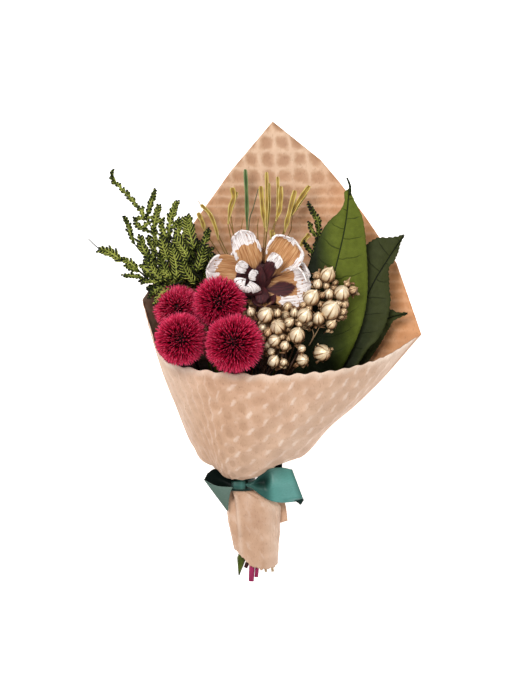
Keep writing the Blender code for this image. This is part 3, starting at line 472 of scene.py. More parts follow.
def makeHandle(material):
    columns, rows = kraft["handleColumns"], kraft["handleRows"]
    angle = np.linspace(0, 2 * math.pi, columns, endpoint=False)
    sections = np.array(kraft["handle"])[::-1]
    torn = np.array(kraft["tornEdge"])
    share = np.linspace(0, 1, rows + 1)[:, None]
    lowX = np.interp(-150, sections[:, 0], sections[:, 1]), np.interp(-150, sections[:, 0], sections[:, 2])
    endX = (lowX[0] + lowX[1]) / 2 + (lowX[1] - lowX[0]) / 2 * np.sin(angle)
    draw = np.random.default_rng(12)
    uneven = np.tile(draw.uniform(-1, 1, columns), 3)
    ragged = np.convolve(uneven, (0.25, 0.5, 0.25), "same")[columns:2 * columns]
    endY = np.interp(endX, torn[:, 0], torn[:, 1]) + ragged * 1.1
    y = endY + (-89.5 - endY) * share
    left, right, low, high = (np.interp(y, sections[:, 0], sections[:, column]) for column in range(1, 5))
    grid = np.stack([(left + right) / 2 + (right - left) / 2 * np.sin(angle), y,
                     (low + high) / 2 - (high - low) / 2 * np.cos(angle)], -1)
    normals = sheetNormals(grid, True)
    below = np.clip((-99.0 - y) / 50.0, 0, 1)
    free = smoothStep(-y, 98.5, 104.0)
    degrees = np.degrees(angle)[None, :] + 0 * y
    pleats = waves(degrees, 8, (24, 30, 40), 1.9) * np.exp(-below * 2.6)
    pleats = pleats + waves(degrees + below * 25, 9, (60, 90, 45), 1.5)
    across, along = grid[..., 0] / kraft["frontPitch"][0], grid[..., 1] / kraft["frontPitch"][1]
    emboss = free * 0.5
    upper = np.cos(angle)[None, :] < 0.2
    x = grid[..., 0]
    # a crease under the knot, one long ridge down from it, and fine creases at the right
    crease = hump(x, -16.4, 0.8) * (1 - smoothStep(-y, 103.0, 109.0)) * upper
    ridge = hump(x - (-102.0 - y) * 0.09, -13.2, 1.3) * upper
    fine = np.sin(x * 2 * math.pi / 1.9) * smoothStep(x, 8.0, 11.0) * between(-y, 108, 116, 132, 142) * upper
    grid = grid - normals * ((pleats - 0.5 - 1.8 * crease + 0.9 * ridge + 0.22 * fine) * free
                             + staggeredDents(across, along) * emboss * 0.25)[..., None]
    grid[..., 2] = np.maximum(grid[..., 2], 0.25)
    points, faces = thickSheet(grid, kraft["thickness"], wrapped=True)
    points[:, 2] = np.maximum(points[:, 2], 0.0)
    count = grid.shape[0] * columns
    inside = np.concatenate([np.ones(count), np.zeros(count)])
    shape = Shape()
    # painted shade inside the handle, in the crease under the knot and a little all over its outside; painted
    # light, paler towards the right and along the long ridge
    shape.add(points, faces, cellAcross=across, cellAlong=along, emboss=emboss, inside=inside, front=1.0,
              rubbed=0.4, oval=0.14, deep=np.maximum(inside * 0.8, np.tile((0.06 + 0.7 * crease).ravel(), 2)),
              pale=0.24 * smoothStep(x, 4, 13) + 0.26 * ridge * free)
    # a corner of the under layer sticks out at the right
    flap = smoothGrid([[(8.0, -101.0, 8.0), (14.0, -102.0, 9.0), (19.6, -104.0, 10.0)],
                       [(8.0, -110.0, 8.0), (16.0, -110.0, 9.5), (21.8, -110.5, 10.5)],
                       [(8.0, -121.6, 8.0), (16.0, -123.0, 9.5), (23.2, -121.2, 10.0)]], 24, 16)
    shape.add(*thickSheet(flap, kraft["thickness"]), front=1.0)
    return finishPiece("kraftHandle", shape, material, ["paper_wrap"])


# Satin ribbon

ribbon = {
    "thickness": 0.35,
    "bandRadius": 10.4, "bandHeight": 8.6, "bandMiddle": -95.0,
    "knotWidth": 11.5,
    # painted shade: from the lit face to the shaded inner side of the loop
    "tones": {0.0: "#54928a", 0.25: "#31655d", 0.5: "#204a43", 0.75: "#112b26", 1.0: "#050f0c"},
}


def satinMaterial():
    # Polyester satin, woven with long floating threads: a soft sheen along the folds, the back side duller
    # and darker; shade is painted into its folds and loops, and dims its sheen there
    material, tree, shader, (hollow, back) = startMaterial(
        "tealSatin", {"Roughness": 0.42, "IOR": 1.5, "Anisotropic": 0.5}, "hollow", "back")
    place = addNode(tree, "TexCoord").outputs["Object"]
    warp = addNode(tree, "Mapping", {"Vector": place, "Scale": (0.25, 1.0, 1.0)})
    # threads are 0.1 mm apart; drawn coarser
    threads = addNode(tree, "TexNoise", {"Vector": warp, "Scale": 1 / (0.5 * mm), "Detail": 2.0})
    tone = addNode(tree, "ValToRGB", (hollow,), ribbon["tones"])
    tone = addNode(tree, "Mix", {0: back, 6: tone, 7: hexColour("#66786c")}, **tint)
    weave = addNode(tree, "ValToRGB", (threads,), {0.3: "#d2d8d6", 0.7: "#ffffff"})
    tone = addNode(tree, "Mix", {0: 0.5, 6: tone, 7: weave}, **darken)
    # the sheen is dimmed where shade is painted
    shine = addNode(tree, "Math", (hollow, -0.45, 0.5), operation="MULTIPLY_ADD")
    bump = addNode(tree, "Bump", {"Height": threads, "Distance": 0.05 * mm})
    connect(tree, shader, {"Base Color": tone, "Specular IOR Level": shine, "Normal": bump})
    return material


def makeRibbon(material):
    shape = Shape()
    thickness = ribbon["thickness"]
    centre = kraft["neck"]
    # band, gathered narrow round the neck
    turn = np.linspace(0, 2 * math.pi, 96, endpoint=False)
    across = np.linspace(-0.5, 0.5, 15)[:, None]
    radius = ribbon["bandRadius"] + 0.35 * np.cos(across * 2 * math.pi * 2.5) + 0.25 * np.sin(turn * 5)
    bandAlong = ribbon["bandMiddle"] + across * ribbon["bandHeight"] + 0 * turn
    band = np.stack([centre[0] + np.sin(turn) * radius, bandAlong, centre[2] - np.cos(turn) * radius], -1)
    # the band lies in painted shade
    shape.add(*thickSheet(band, thickness, wrapped=True), hollow=0.6)
    # knot: a short rounded strap over the band
    length, girth = np.linspace(0, 1, 30)[:, None], np.linspace(0, 2 * math.pi, 28, endpoint=False)
    half = 3.3 * (0.75 + 0.25 * np.sin(length * math.pi)) + 0.18 * np.sin(girth * 7)
    knot = np.stack([-16.6 + ribbon["knotWidth"] * length + 0 * girth, -94.6 + np.cos(girth) * half,
                     23.4 + np.sin(girth) * half * 0.72], -1)
    knotPoints, knotFaces = thickSheet(knot, thickness, wrapped=True)
    # painted shade towards both ends of the knot
    ends = smoothStep(length, 0.80, 0.90) * 0.55 + (1 - smoothStep(length, 0.06, 0.2)) * 0.35 + 0 * girth
    shape.add(knotPoints, knotFaces, hollow=ends + 0.38 - 0.18 * hump(length, 0.62, 0.12))
    # right tail: leaves the knot in one deep pleat and opens flat to its slanting cut end
    top = smoothLine([(-8.0, -93.4, 24.0), (-2.0, -92.6, 25.5), (4.0, -87.4, 27.0), (10.5, -83.4, 27.0),
                      (18.9, -82.6, 25.5), (26.2, -84.2, 23.0)], 50)
    bottom = smoothLine([(-8.0, -96.0, 24.0), (-2.5, -97.2, 25.0), (3.5, -101.6, 25.5), (9.5, -105.4, 25.0),
                         (19.0, -107.4, 24.5), (34.6, -106.4, 21.0)], 50)
    part = np.linspace(0, 1, 41)
    tail = top[:, None] + (bottom - top)[:, None] * part[None, :, None]
    reach = np.linspace(0, 1, 50)[:, None]
    valley = hump(part, 0.42, 0.26) * between(reach, 0.16, 0.42, 0.50, 0.66)
    crown = np.sin(part * math.pi) * (1.0 + 1.6 * reach)
    roll = smoothStep(part, 0.86, 1.0) * smoothStep(reach, 0.72, 1.0)
    tail[..., 2] += crown - 4.6 * valley + 0.5 * np.sin(part * 9 + reach * 5) * reach - 3.0 * roll
    tailPoints, tailFaces = thickSheet(tail, thickness)
    # painted shade in the pleat by the knot, in its valley and at the curled corner
    fold = 0.38 * (1 - smoothStep(reach - 0.05 * part, 0.46, 0.68)) + 0.2 * smoothStep(reach, 0.93, 1.0)
    fold = fold + valley * 0.36 + 0.9 * smoothStep(part, 0.9, 1.0) * smoothStep(reach, 0.9, 1.0)
    shape.add(tailPoints, tailFaces, hollow=np.clip(fold, 0, 0.92))
    # its lower corner curls under
    curl = smoothGrid([[(26.5, -105.6, 21.6), (30.5, -106.2, 21.0), (34.4, -104.8, 20.4)],
                       [(28.6, -106.6, 21.0), (31.2, -108.0, 20.2), (33.8, -106.6, 19.6)],
                       [(30.8, -107.8, 20.4), (31.8, -109.2, 19.6), (32.8, -108.6, 19.0)]], 10, 10)
    # the curl is in painted shade
    shape.add(*thickSheet(curl, thickness), hollow=0.8)
    # the layer behind it, of which only a corner shows, all in painted shade
    behind = smoothGrid([[(2.0, -90.0, 18.0), (8.0, -86.0, 19.0), (13.0, -79.0, 19.5)],
                         [(8.0, -92.0, 18.0), (14.0, -88.0, 19.0), (18.6, -78.0, 19.5)],
                         [(12.0, -94.0, 18.0), (16.0, -89.0, 18.5), (19.2, -83.0, 18.5)]], 12, 12)
    shape.add(*thickSheet(behind, thickness), hollow=1.0)
    # left loop: its inner side, seen from above, all in painted shade
    inner = smoothGrid([[(-11.5, -97.0, 24.5), (-11.5, -94.6, 25.2), (-11.5, -92.0, 24.6)],
                        [(-18.5, -96.8, 24.6), (-18.5, -93.5, 23.2), (-18.5, -89.5, 24.5)],
                        [(-25.5, -96.2, 25.6), (-24.5, -91.5, 22.6), (-24.0, -85.8, 24.0)],
                        [(-31.5, -94.6, 25.2), (-30.0, -90.0, 23.0), (-28.8, -83.7, 23.2)],
                        [(-36.0, -91.2, 24.2), (-35.0, -89.6, 23.6), (-33.6, -87.0, 22.8)]], 40, 22)
    shape.add(*thickSheet(inner, thickness), hollow=1.0)
    # left tail: comes back over the fold and hangs down beside the handle
    hanging = smoothGrid([[(-36.0, -91.2, 24.4), (-27.0, -95.4, 26.0), (-15.5, -96.4, 25.6)],
                          [(-31.0, -98.0, 23.9), (-24.5, -100.0, 25.2), (-17.2, -100.0, 25.0)],
                          [(-25.4, -105.5, 23.0), (-22.0, -106.0, 24.0), (-18.4, -106.0, 23.6)],
                          [(-19.9, -113.0, 22.0), (-19.4, -113.1, 22.2), (-18.9, -113.2, 22.0)]], 44, 20)
    # painted shade, deepening down the hanging tail
    down = np.linspace(0, 1, 44)[:, None] + 0.25 * np.linspace(0, 1, 20)[None, :]
    shape.add(*thickSheet(hanging, thickness), hollow=0.22 + 0.30 * smoothStep(down, 0.1, 1.0), back=0.75)
    piece = finishPiece("tealRibbon", shape, material, ["ribbon"])
    return piece


# Stems, bound together in the neck

stems = {
    "bundle": np.array((-11.0, -88.0, 11.1)),  # where they all run together
    # the way down from there; the last number spreads the stems apart
    "way": [(-11.0, -88.0, 11.1, 1.0), (-11.0, -99.0, 11.1, 1.0), (-5.5, -112.0, 11.1, 1.15),
            (0.5, -132.0, 11.1, 1.4), (2.0, -152.0, 11.1, 1.7)],
    "pitch": 2.4, "radius": 0.9, "hiddenEnd": -146.0, "paperEnd": -148.0,
    # how they lie side by side in the bundle, from the lowest row up
    "rows": [
        ["grass_left", "grass_green", "grass_gold"],
        ["conifer_spray_1", "conifer_spray_2", "conifer_sprig", "leaf_back"],
        ["conifer_spray_3", "conifer_spray_4", "pinecone", "leaf_front", "leaf_middle"],
        ["crimson_head_a", "crimson_head_b", "seed_spray_left", "seed_spray_right"],
        ["crimson_head_c", "crimson_head_d"],
    ],
    # those that come out below the paper: x and y of the cut, then the radius where they leave the paper
    # and at the cut
    "cuts": {
        "conifer_spray_3": (-11.4, -160.0, 3.2, 0.4), "pinecone": (-6.8, -154.4, 1.7, 1.3),
        "crimson_head_c": (-2.7, -163.6, 2.1, 1.9), "crimson_head_d": (0.9, -160.6, 1.5, 1.3),
        "seed_spray_left": (7.8, -157.2, 1.0, 0.9), "seed_spray_right": (12.6, -157.0, 1.1, 1.0),
    },
}


def stemLine(name, upper):
    # from the head down through the stem's own place in the neck to its end; with the radius at each point
    row = next(number for number, names in enumerate(stems["rows"]) if name in names)
    names = stems["rows"][row]
    across = (names.index(name) - (len(names) - 1) / 2) * stems["pitch"]
    lift = (row - (len(stems["rows"]) - 1) / 2) * stems["pitch"]
    lower = [(x + across * spread, max(y, stems["hiddenEnd"]), z + lift) for x, y, z, spread in stems["way"]]
    radii = [stems["radius"]] * len(lower)
    if name in stems["cuts"]:
        x, y, radii[-1], end = stems["cuts"][name]
        lower[-1] = ((lower[-1][0] + 2 * x) / 3, stems["paperEnd"], lower[-1][2])
        lower.append((x, y, lower[-1][2]))
        radii.append(end)
    upper = smoothLine(list(upper) + lower[:1], 14)
    return np.concatenate([upper, np.array(lower[1:])]), np.array([stems["radius"]] * 13 + radii)


# Crimson heads

heads = {
    "places": {  # centre and radius of each ball of bristles
        "crimson_head_a": ((-53.5, 28.3, 42.0), 17.0), "crimson_head_b": ((-24.4, 32.4, 58.0), 18.7),
        "crimson_head_c": ((-50.5, 7.4, 68.0), 18.2), "crimson_head_d": ((-14.3, 4.3, 76.0), 20.4),
    },
    "count": 2500, "lengths": (0.90, 1.08), "jitter": 0.04, "core": 0.62, "clearance": 0.2,
    "thickness": 0.42,  # radius of a bristle at its root, and its share at the levels where it has a ring
    "levels": [(0.57, 1.0), (0.80, 0.8), (0.93, 0.55)],
    "pressedBy": [("pinecone", (-20.0, 57.0, 44.0), 16.5)],  # a scale of the cone leans on them
    "brighter": {"crimson_head_a": 0.08},  # painted light: this head's colours are lifted, to look more brightly lit
    # painted shade: from the dark core out to the lit tips of the bristles
    "tones": {0.0: "#150004", 0.42: "#36010b", 0.62: "#780420", 0.8: "#c40a3a", 1.0: "#e2305c"},
}


def bloomMaterial():
    # Dried teasel-like head, dyed crimson: stiff matt bristles, with painted shade deep among them where they
    # stand close, and painted pink glints at the tips of some
    material, tree, shader, (height, draw, flank, stalk) = startMaterial(
        "dyedBristles", {"Roughness": 0.55, "IOR": 1.45, "Specular IOR Level": 0.15},
        "height", "draw", "flank", "stalk")
    colour = addNode(tree, "ValToRGB", (height,), heads["tones"])
    # round the sides light comes through the thin tips
    lit = addNode(tree, "MapRange", (height, 0.55, 0.95, 0.0, 0.95), **smooth)
    lit = addNode(tree, "Math", (lit, flank), operation="MULTIPLY")
    colour = addNode(tree, "Mix", {0: lit, 6: colour, 7: hexColour("#f23c6a")}, **tint)
    # painted glints: pale pink tips on some of the bristles
    tips = addNode(tree, "MapRange", (height, 0.86, 0.96, 0.0, 0.3), **smooth)
    tipGlints = addNode(tree, "MapRange", (draw, 0.45, 0.85, 0.0, tips), **smooth)
    colour = addNode(tree, "Mix", {0: tipGlints, 6: colour, 7: hexColour("#ff9ab4")}, **tint)
    colour = addNode(tree, "Mix", {0: stalk, 6: colour, 7: hexColour("#a3305c")}, **tint)
    uneven = addNode(tree, "ValToRGB", (draw,), {0.0: "#9c7884", 0.5: "#ffffff"})
    colour = addNode(tree, "Mix", {0: 0.8, 6: colour, 7: uneven}, **darken)
    connect(tree, shader, {"Base Color": colour})
    return material


def makeHead(name, material):
    centre, radius = np.array(heads["places"][name][0]), heads["places"][name][1]
    draw = np.random.default_rng(sum(map(ord, name)))
    count = heads["count"]
    height = 1 - 2 * (np.arange(count) + 0.5) / count
    turn = np.arange(count) * math.pi * (3 - math.sqrt(5))
    flat = np.sqrt(1 - height ** 2)
    way = np.stack([flat * np.cos(turn), flat * np.sin(turn), height], -1)
    way = unit(way + draw.normal(0, heads["jitter"], way.shape))
    down = unit(stems["bundle"] - centre)
    way = way[way @ down < 0.95]
    length = radius * draw.uniform(*heads["lengths"], len(way))
    # bristles of two heads that meet end at the wall between them
    for other, place, reach in [(key, *value) for key, value in heads["places"].items()] + heads["pressedBy"]:
        gap = np.array(place) - centre
        distance = np.linalg.norm(gap)
        if other == name or distance > radius + reach + 1:
            continue
        wall = (distance ** 2 + radius ** 2 - reach ** 2) / (2 * distance) - heads["clearance"]
        facing = way @ (gap / distance)
        length = np.where((facing > 0) & (length * facing > wall), wall / facing.clip(0.01), length)
    shape = Shape()
    guide = unit(np.cross(way, draw.normal(0, 1, way.shape)))
    other = np.cross(way, guide)
    lean = unit(way + draw.normal(0, 0.05, way.shape))
    rings = []
    for share, width in heads["levels"]:
        middle = centre + way * (length * share)[:, None]
        for corner in range(3):
            angle = 2 * math.pi * corner / 3
            out = guide * math.cos(angle) + other * math.sin(angle)
            rings.append(middle + out * heads["thickness"] * width)
    tip = centre + (way * 0.8 + lean * 0.2) * length[:, None]
    points = np.stack([*rings, tip], 1)
    start = np.arange(len(way))[:, None] * 10
    sides = np.concatenate([start + np.array([[k, (k + 1) % 3, (k + 1) % 3 + 3, k + 3]]) + 3 * ring
                            for k in range(3) for ring in range(2)])
    ends = np.concatenate([start + np.array([[k + 6, (k + 1) % 3 + 6, 9]]) for k in range(3)])
    foot = start + np.array([[2, 1, 0]])
    share = (length / radius)[:, None]
    levelHeight = np.repeat((0.3, 0.68, 0.9, 1.0), (3, 3, 3, 1))[None, :] * (0.45 + 0.55 * share)
    flank = 1 - smoothStep(way[:, 2], 0.25, 0.72)
    shape.add(points, [sides, ends, foot], height=levelHeight + heads["brighter"].get(name, 0.0),
              flank=np.repeat(flank, 10), draw=np.repeat(draw.uniform(0, 1, len(way)), 10))
    # the core is a dark ball in painted shade
    core, coreFaces = ball(centre, radius * heads["core"], 24)
    shape.add(core, coreFaces, height=0.15, draw=0.5)
    stem, thick = stemLine(name, [centre + down * radius * 0.3])
    bare = np.repeat(np.interp(stem[:, 1], (-146, -138), (1.0, 0.0)), 10)
    shape.add(*tube(stem, thick, 10), height=0.1, draw=1.0, stalk=bare)
    return finishPiece(camelCase(name), shape, material, [name])


def ball(centre, radius, sides):
    polar = np.linspace(0.02, math.pi - 0.02, sides // 2 + 1)[:, None]
    turn = np.linspace(0, 2 * math.pi, sides, endpoint=False)
    radius = np.broadcast_to(radius, 1)
    flat = np.sin(polar)
    points = np.stack([flat * np.cos(turn), flat * np.sin(turn), np.cos(polar) + 0 * turn], -1)
    index = np.arange(points.shape[0] * sides).reshape(-1, sides)
    after = np.roll(index, -1, 1)
    quads = np.stack([index[:-1], index[1:], after[1:], after[:-1]], -1).reshape(-1, 4)
    return (np.array(centre) + points * radius).reshape(-1, 3), [quads, index[:1], index[-1:, ::-1]]


# Pinecone

cone = {
    "heart": (3.5, 51.0, 50.0), "core": 9.0, "rows": 30, "columns": 23, "thickness": 2.2,
    # each from the grooves up: inner side of a scale, its outer side and the paint
    "inner": {0.3: "#925a34", 0.5: "#bc8654", 0.7: "#d8ae80"},
    "outer": {0.3: "#25070e", 0.6: "#4a151b", 0.8: "#642a20"},
    "chalk": {0.28: "#a08a88", 0.42: "#dccfca", 0.55: "#fbf6f4"},
    # base, middle and tip of each scale's centre line, half widths along it, how far its edges and its tip
    # turn up, where paint begins along it and across it (to the left and to the right of its line), how far
    # its dark root reaches, and how deep the painted shade in its hollow is; "out" is the way it faces, in
    # degrees, where that isn't the way to its tip, and a paint or rim past 1 leaves that part bare
    "usual": dict(lift=1.0, roll=0.5, paint=2.0, rim=2.0, rimFrom=0.25, dark=0.9, hollow=0.0),
    "scales": {
        "upperLeft": dict(
            line=[(-1.0, 54, 51), (-5.4, 68.5, 57), (-10.6, 82.2, 63)], half=[3.5, 8.5, 9.6, 8.6, 6.8],
            lift=2.2, roll=1.2, paint=0.62, rim=0.78, dark=0.1),
        "upperRight": dict(
            line=[(9.0, 51, 50), (19.0, 64.3, 57), (26.8, 76.6, 62)], half=[3.0, 8.2, 12.5, 12.9, 9.4],
            lift=4.0, roll=1.5, paint=0.88, rim=(0.86, 0.7), dark=0.12),
        "left": dict(
            line=[(0.0, 50, 43), (-15.5, 53.2, 43.5), (-34.3, 55.0, 47)], half=[3.0, 8.0, 11.6, 12.4, 9.2],
            lift=3.2, roll=3.0, paint=0.76, rim=(0.92, 1.3), dark=0.22),
        "right": dict(
            line=[(7.0, 41.0, 46), (23.5, 41.6, 50), (39.6, 45.4, 60)], half=[3.5, 9.6, 13.6, 14.6, 10.6],
            lift=6.5, roll=2.0, paint=0.66, rim=(0.88, 0.32), rimFrom=0.16, dark=0.1, hollow=1.0),
        "rightBack": dict(
            line=[(9.0, 51, 43), (24.0, 53.0, 45), (39.5, 51.5, 54)], half=[2.0, 6.0, 8.8, 8.8, 6.5],
            lift=3.0, roll=2.5, paint=0.76, rim=0.8, dark=0.3),
        "front": dict(
            line=[(1.0, 45, 50), (-6.2, 39.0, 57), (-6.8, 42.6, 66)], half=[4.0, 8.0, 9.8, 9.8, 8.2],
            lift=5.6, roll=0.6, paint=0.76, rim=1.2, out=250),
        "lower": dict(
            line=[(4.5, 45, 44), (6.0, 37, 46), (7.1, 29, 52)], half=[3.0, 7.0, 8.5, 8.0, 5.5], lift=2.0),
        "tipLeft": dict(
            line=[(0.0, 52, 56), (-6.2, 55.5, 64), (-13.0, 58.0, 69.5)], half=[1.5, 2.5, 3.4, 4.4, 4.0],
            lift=0.5, paint=0.47, rim=1.2),
        "tipRight": dict(
            line=[(6.0, 54, 56), (11.4, 58.6, 64), (16.8, 64.6, 69.5)], half=[1.5, 3.0, 4.6, 5.4, 4.8],
            lift=0.5, paint=0.5, rim=1.2),
        "tipMiddle": dict(
            line=[(3.0, 50, 58), (0.8, 50.6, 66), (-4.2, 52.0, 71)], half=[1.6, 2.5, 3.3, 3.8, 3.4],
            lift=0.4, roll=0.4, paint=0.48, rim=1.2, out=160),
        "bladeRight": dict(
            line=[(3.5, 47, 50), (8.5, 54.0, 60), (12.4, 59.5, 67)], half=[2.2, 3.8, 4.4, 3.6, 1.8],
            lift=-1.2, roll=0.0, dark=2.0),
        "bladeLeft": dict(
            line=[(4.0, 43, 50), (3.6, 49.0, 60), (2.8, 57.0, 66)], half=[2.4, 3.6, 3.8, 2.8, 1.6],
            lift=-1.4, roll=0.0, dark=2.0),
        "bladeFar": dict(
            line=[(3.0, 47, 50), (-5.5, 50.0, 55), (-12.5, 51.5, 59)], half=[2.4, 4.2, 5.0, 4.2, 2.4],
            lift=-1.2, roll=0.0, dark=2.0),
        "bladeLow": dict(
            line=[(4.0, 44, 50), (5.0, 38.0, 56), (3.6, 32.0, 58)], half=[2.4, 4.0, 4.8, 3.8, 2.0],
            lift=-1.2, roll=0.0, dark=2.0),
        "underUpLeft": dict(
            line=[(1.0, 53, 38), (-7.0, 61, 39), (-16.0, 68, 45)], half=[2, 5, 7, 7, 5],
            paint=0.9, rim=1.2, dark=0.4),
        "underUp": dict(line=[(4.0, 54, 38), (6.5, 63, 39), (8.7, 71, 43)], half=[2, 5, 6.5, 6, 4], dark=0.5),
        "underRight": dict(line=[(7.0, 52, 35), (15.0, 55, 36), (24.0, 58, 41)], half=[2, 4, 6, 6, 4]),
        "underDownRight": dict(
            line=[(6.0, 48, 37), (11.0, 40, 38), (17.0, 32, 44)], half=[2, 5, 6.5, 6.5, 4]),
        "underDownLeft": dict(
            line=[(2.0, 48, 37), (-1.0, 40, 38), (-4.0, 31, 44)], half=[2, 5, 6.5, 6.5, 4]),
    },
}


def coneMaterial():
    # Open pine cone: woody scales, tan and finely grooved inside, purple-brown outside, rubbed with white
    # chalky paint at the tips
    material, tree, shader, (across, along, outer, paint) = startMaterial(
        "coneWoodPainted", {"Roughness": 0.72, "IOR": 1.5}, "scaleAcross", "scaleAlong", "outer", "paint")
    # grooves about 0.8 mm apart run along each scale, unbroken for some 10 mm
    across = addNode(tree, "Math", (across, 1.3), operation="MULTIPLY")
    along = addNode(tree, "Math", (along, 0.1), operation="MULTIPLY")
    run = addNode(tree, "CombineXYZ", (across, along))
    groove = addNode(tree, "TexNoise", {"Vector": run, "Scale": 1.0, "Detail": 4.0})
    tan = addNode(tree, "ValToRGB", (groove,), cone["inner"])
    dark = addNode(tree, "ValToRGB", (groove,), cone["outer"])
    wood = addNode(tree, "Mix", {0: outer, 6: tan, 7: dark}, **tint)
    chalk = addNode(tree, "ValToRGB", (groove,), cone["chalk"])
    place = addNode(tree, "TexCoord").outputs["Object"]
    rubbed = addNode(tree, "TexNoise", {"Vector": place, "Scale": 1 / (2.6 * mm), "Detail": 3.0})
    worn = addNode(tree, "Math", (groove, 0.9, paint), operation="MULTIPLY_ADD")
    worn = addNode(tree, "Math", (rubbed, 1.5, worn), operation="MULTIPLY_ADD")
    cover = addNode(tree, "MapRange", (worn, 1.86, 2.06), **smooth)
    colour = addNode(tree, "Mix", {0: cover, 6: wood, 7: chalk}, **tint)
    bump = addNode(tree, "Bump", {"Height": groove, "Distance": 0.5 * mm})
    connect(tree, shader, {"Base Color": colour, "Normal": bump})
    return material


def addConeScale(shape, scale, seed):
    scale = {**cone["usual"], **scale}
    rows, columns = cone["rows"], cone["columns"]
    share = np.linspace(0, 1, rows)[:, None]
    across = np.linspace(-1, 1, columns)[None, :]
    line = smoothLine(scale["line"], rows)
    ahead = unit(np.gradient(line, axis=0))
    way = line[-1] - line[0]
    facing = math.radians(scale["out"]) if "out" in scale else math.atan2(way[1], way[0])
    side = np.tile((math.sin(facing), -math.cos(facing), 0.0), (rows, 1))
    up = np.cross(side, ahead)
    half = smoothLine([[value] for value in scale["half"]], rows)
    rounded = np.sqrt(np.clip(1 - np.clip((share - 0.80) / 0.20, 0, 1) ** 2.4, 0.03, 1))
    reach = half * rounded * across
    wavy = waves(across * 10 + 0 * share, seed, (3.1, 5.3, 7.7), 0.5) * smoothStep(share, 0.5, 1.0)
    lift = scale["lift"] * np.abs(across) ** 2.2 * smoothStep(share, 0.0, 0.6)
    lift = lift + scale["roll"] * smoothStep(share, 0.82, 1.0)
    grid = line[:, None] + side[:, None] * reach[..., None] + up[:, None] * (lift + wavy)[..., None]
    grid = grid + ahead[:, None] * (wavy * 1.2 * smoothStep(share, 0.8, 1.0))[..., None]
    thick = cone["thickness"] * (1 - 0.45 * np.abs(across) ** 2) * (0.8 + 0.3 * smoothStep(share, 0.7, 0.95))
    thick = thick * (0.35 + 0.65 * np.sqrt(np.clip((1 - share) / 0.12, 0, 1)))
    thick = thick * min(1.0, max(scale["half"]) / 6)
    points, faces = thickSheet(grid, thick)
    patchy = waves(share * 8 + across * 4, seed + 50, (1.7, 2.9, 4.3), 0.07)
    rim = np.where(across < 0, *np.broadcast_to(scale["rim"], 2))
    atTip = smoothStep(share + patchy, scale["paint"] - 0.05, scale["paint"] + 0.05) + 0 * across
    atSides = smoothStep(np.abs(across) + patchy - rim, -0.08, 0.08)
    paint = np.maximum(atTip, atSides * smoothStep(share, scale["rimFrom"], scale["rimFrom"] + 0.2))
    count = rows * columns
    root = 1 - smoothStep(share + patchy + 0.12 * (1 - across ** 2), scale["dark"], scale["dark"] + 0.16)
    # a wedge of shade where the scale is cupped
    wedge = 0.50 * (1 - ((share - 0.32) / 0.36) ** 2) - np.abs(across + 0.08) + patchy * 0.4
    hollow = scale["hollow"] * smoothStep(wedge, -0.04, 0.06)
    # the inner side takes the outer side's dark colour at its root, and where shade is painted in its hollow
    outer = np.concatenate([np.maximum(root, hollow).ravel(), np.ones(count)])
    shape.add(points, faces, outer=outer, paint=paint,
              scaleAcross=across * half + seed * 17.0, scaleAlong=share * 30 + 0 * across)


def makePinecone(material):
    shape = Shape()
    for number, scale in enumerate(cone["scales"].values()):
        addConeScale(shape, scale, number + 1)
    heart = np.array(cone["heart"])
    foot, crown = heart + (0, 0, -17), heart + (0, 0, 9)
    line = foot + (crown - foot) * np.linspace(0, 1, 14)[:, None]
    radii = cone["core"] * smoothLine([[0.35], [0.8], [1.0], [0.7], [0.2]], 14)[:, 0]
    shape.add(*tube(line, radii, 20, lift=(0, 1, 0)), outer=1.0)
    shape.add(*tube(*stemLine("pinecone", [heart + (0, 0, -12), heart + (-1, -14, -19)]), 8), outer=1.0)
    return finishPiece("paintedPinecone", shape, material, ["pinecone"])


# Gold seed pods

pods = {
    "places": {  # middle and radius of each large pod
        "seed_spray_left": [
            ((7.5, 23.9, 66.0), 5.3), ((-2.6, 26.0, 58.0), 3.1), ((15.7, 15.7, 70.0), 5.0),
            ((5.4, 15.0, 62.0), 2.9), ((13.4, 6.4, 69.0), 4.0), ((20.4, 3.0, 71.0), 3.1),
            ((11.2, -1.2, 65.0), 2.6), ((13.0, -7.6, 66.0), 4.0), ((19.8, -8.4, 69.0), 2.5),
        ],
        "seed_spray_right": [
            ((50.0, 51.3, 64.0), 4.9), ((59.6, 39.0, 64.0), 5.0), ((51.8, 27.3, 69.0), 6.2),
            ((38.6, 35.8, 70.5), 5.2), ((50.7, 38.3, 62.0), 3.4), ((43.0, 45.0, 65.0), 3.0),
            ((43.4, 21.6, 68.0), 4.2), ((34.0, 23.4, 72.0), 4.9), ((27.4, 25.4, 64.0), 3.2),
            ((28.8, 10.2, 74.0), 5.0), ((32.0, 0.9, 72.0), 2.6), ((32.7, -6.8, 68.0), 4.0),
            ((46.2, -2.0, 66.0), 5.5),
        ],
    },
    "growth": 1.06,  # every radius is multiplied by this
    "fill": 2.6,  # all pods to large ones, where there is room
    "keepClear": [((28.0, 47.0), 15.5), ((15.0, 38.0), 10.0)],  # the cone's scales: x and y, radius
    "sepal": np.array((0.3, 0.75, 0.9, 0.7, 0.4, 0.05)) * 0.22,  # girth along it to the pod's radius
    "husk": (0.3, 0.9, 1.2, 1.0, 0.6, 0.1),  # girth along a withered floret
    # a bare forked stalk lies over the leaf
    "fork": [[(47.5, 21.5, 53), (42.4, 12.0, 53), (37.2, 3.0, 50)],
             [(39.4, 14.5, 53.5), (40.4, 10.4, 53), (39.0, 6.0, 51)]],
    "lightFrom": np.array((-0.35, 0.35, 0.87)),  # the way to the light: painted shade on the sides turned away from it
    # from thick paint to bare husk, also used for painted shade
    "tones": {0.0: "#edd9b8", 0.3: "#d3b48a", 0.6: "#986e4a", 1.0: "#462a16"},
}


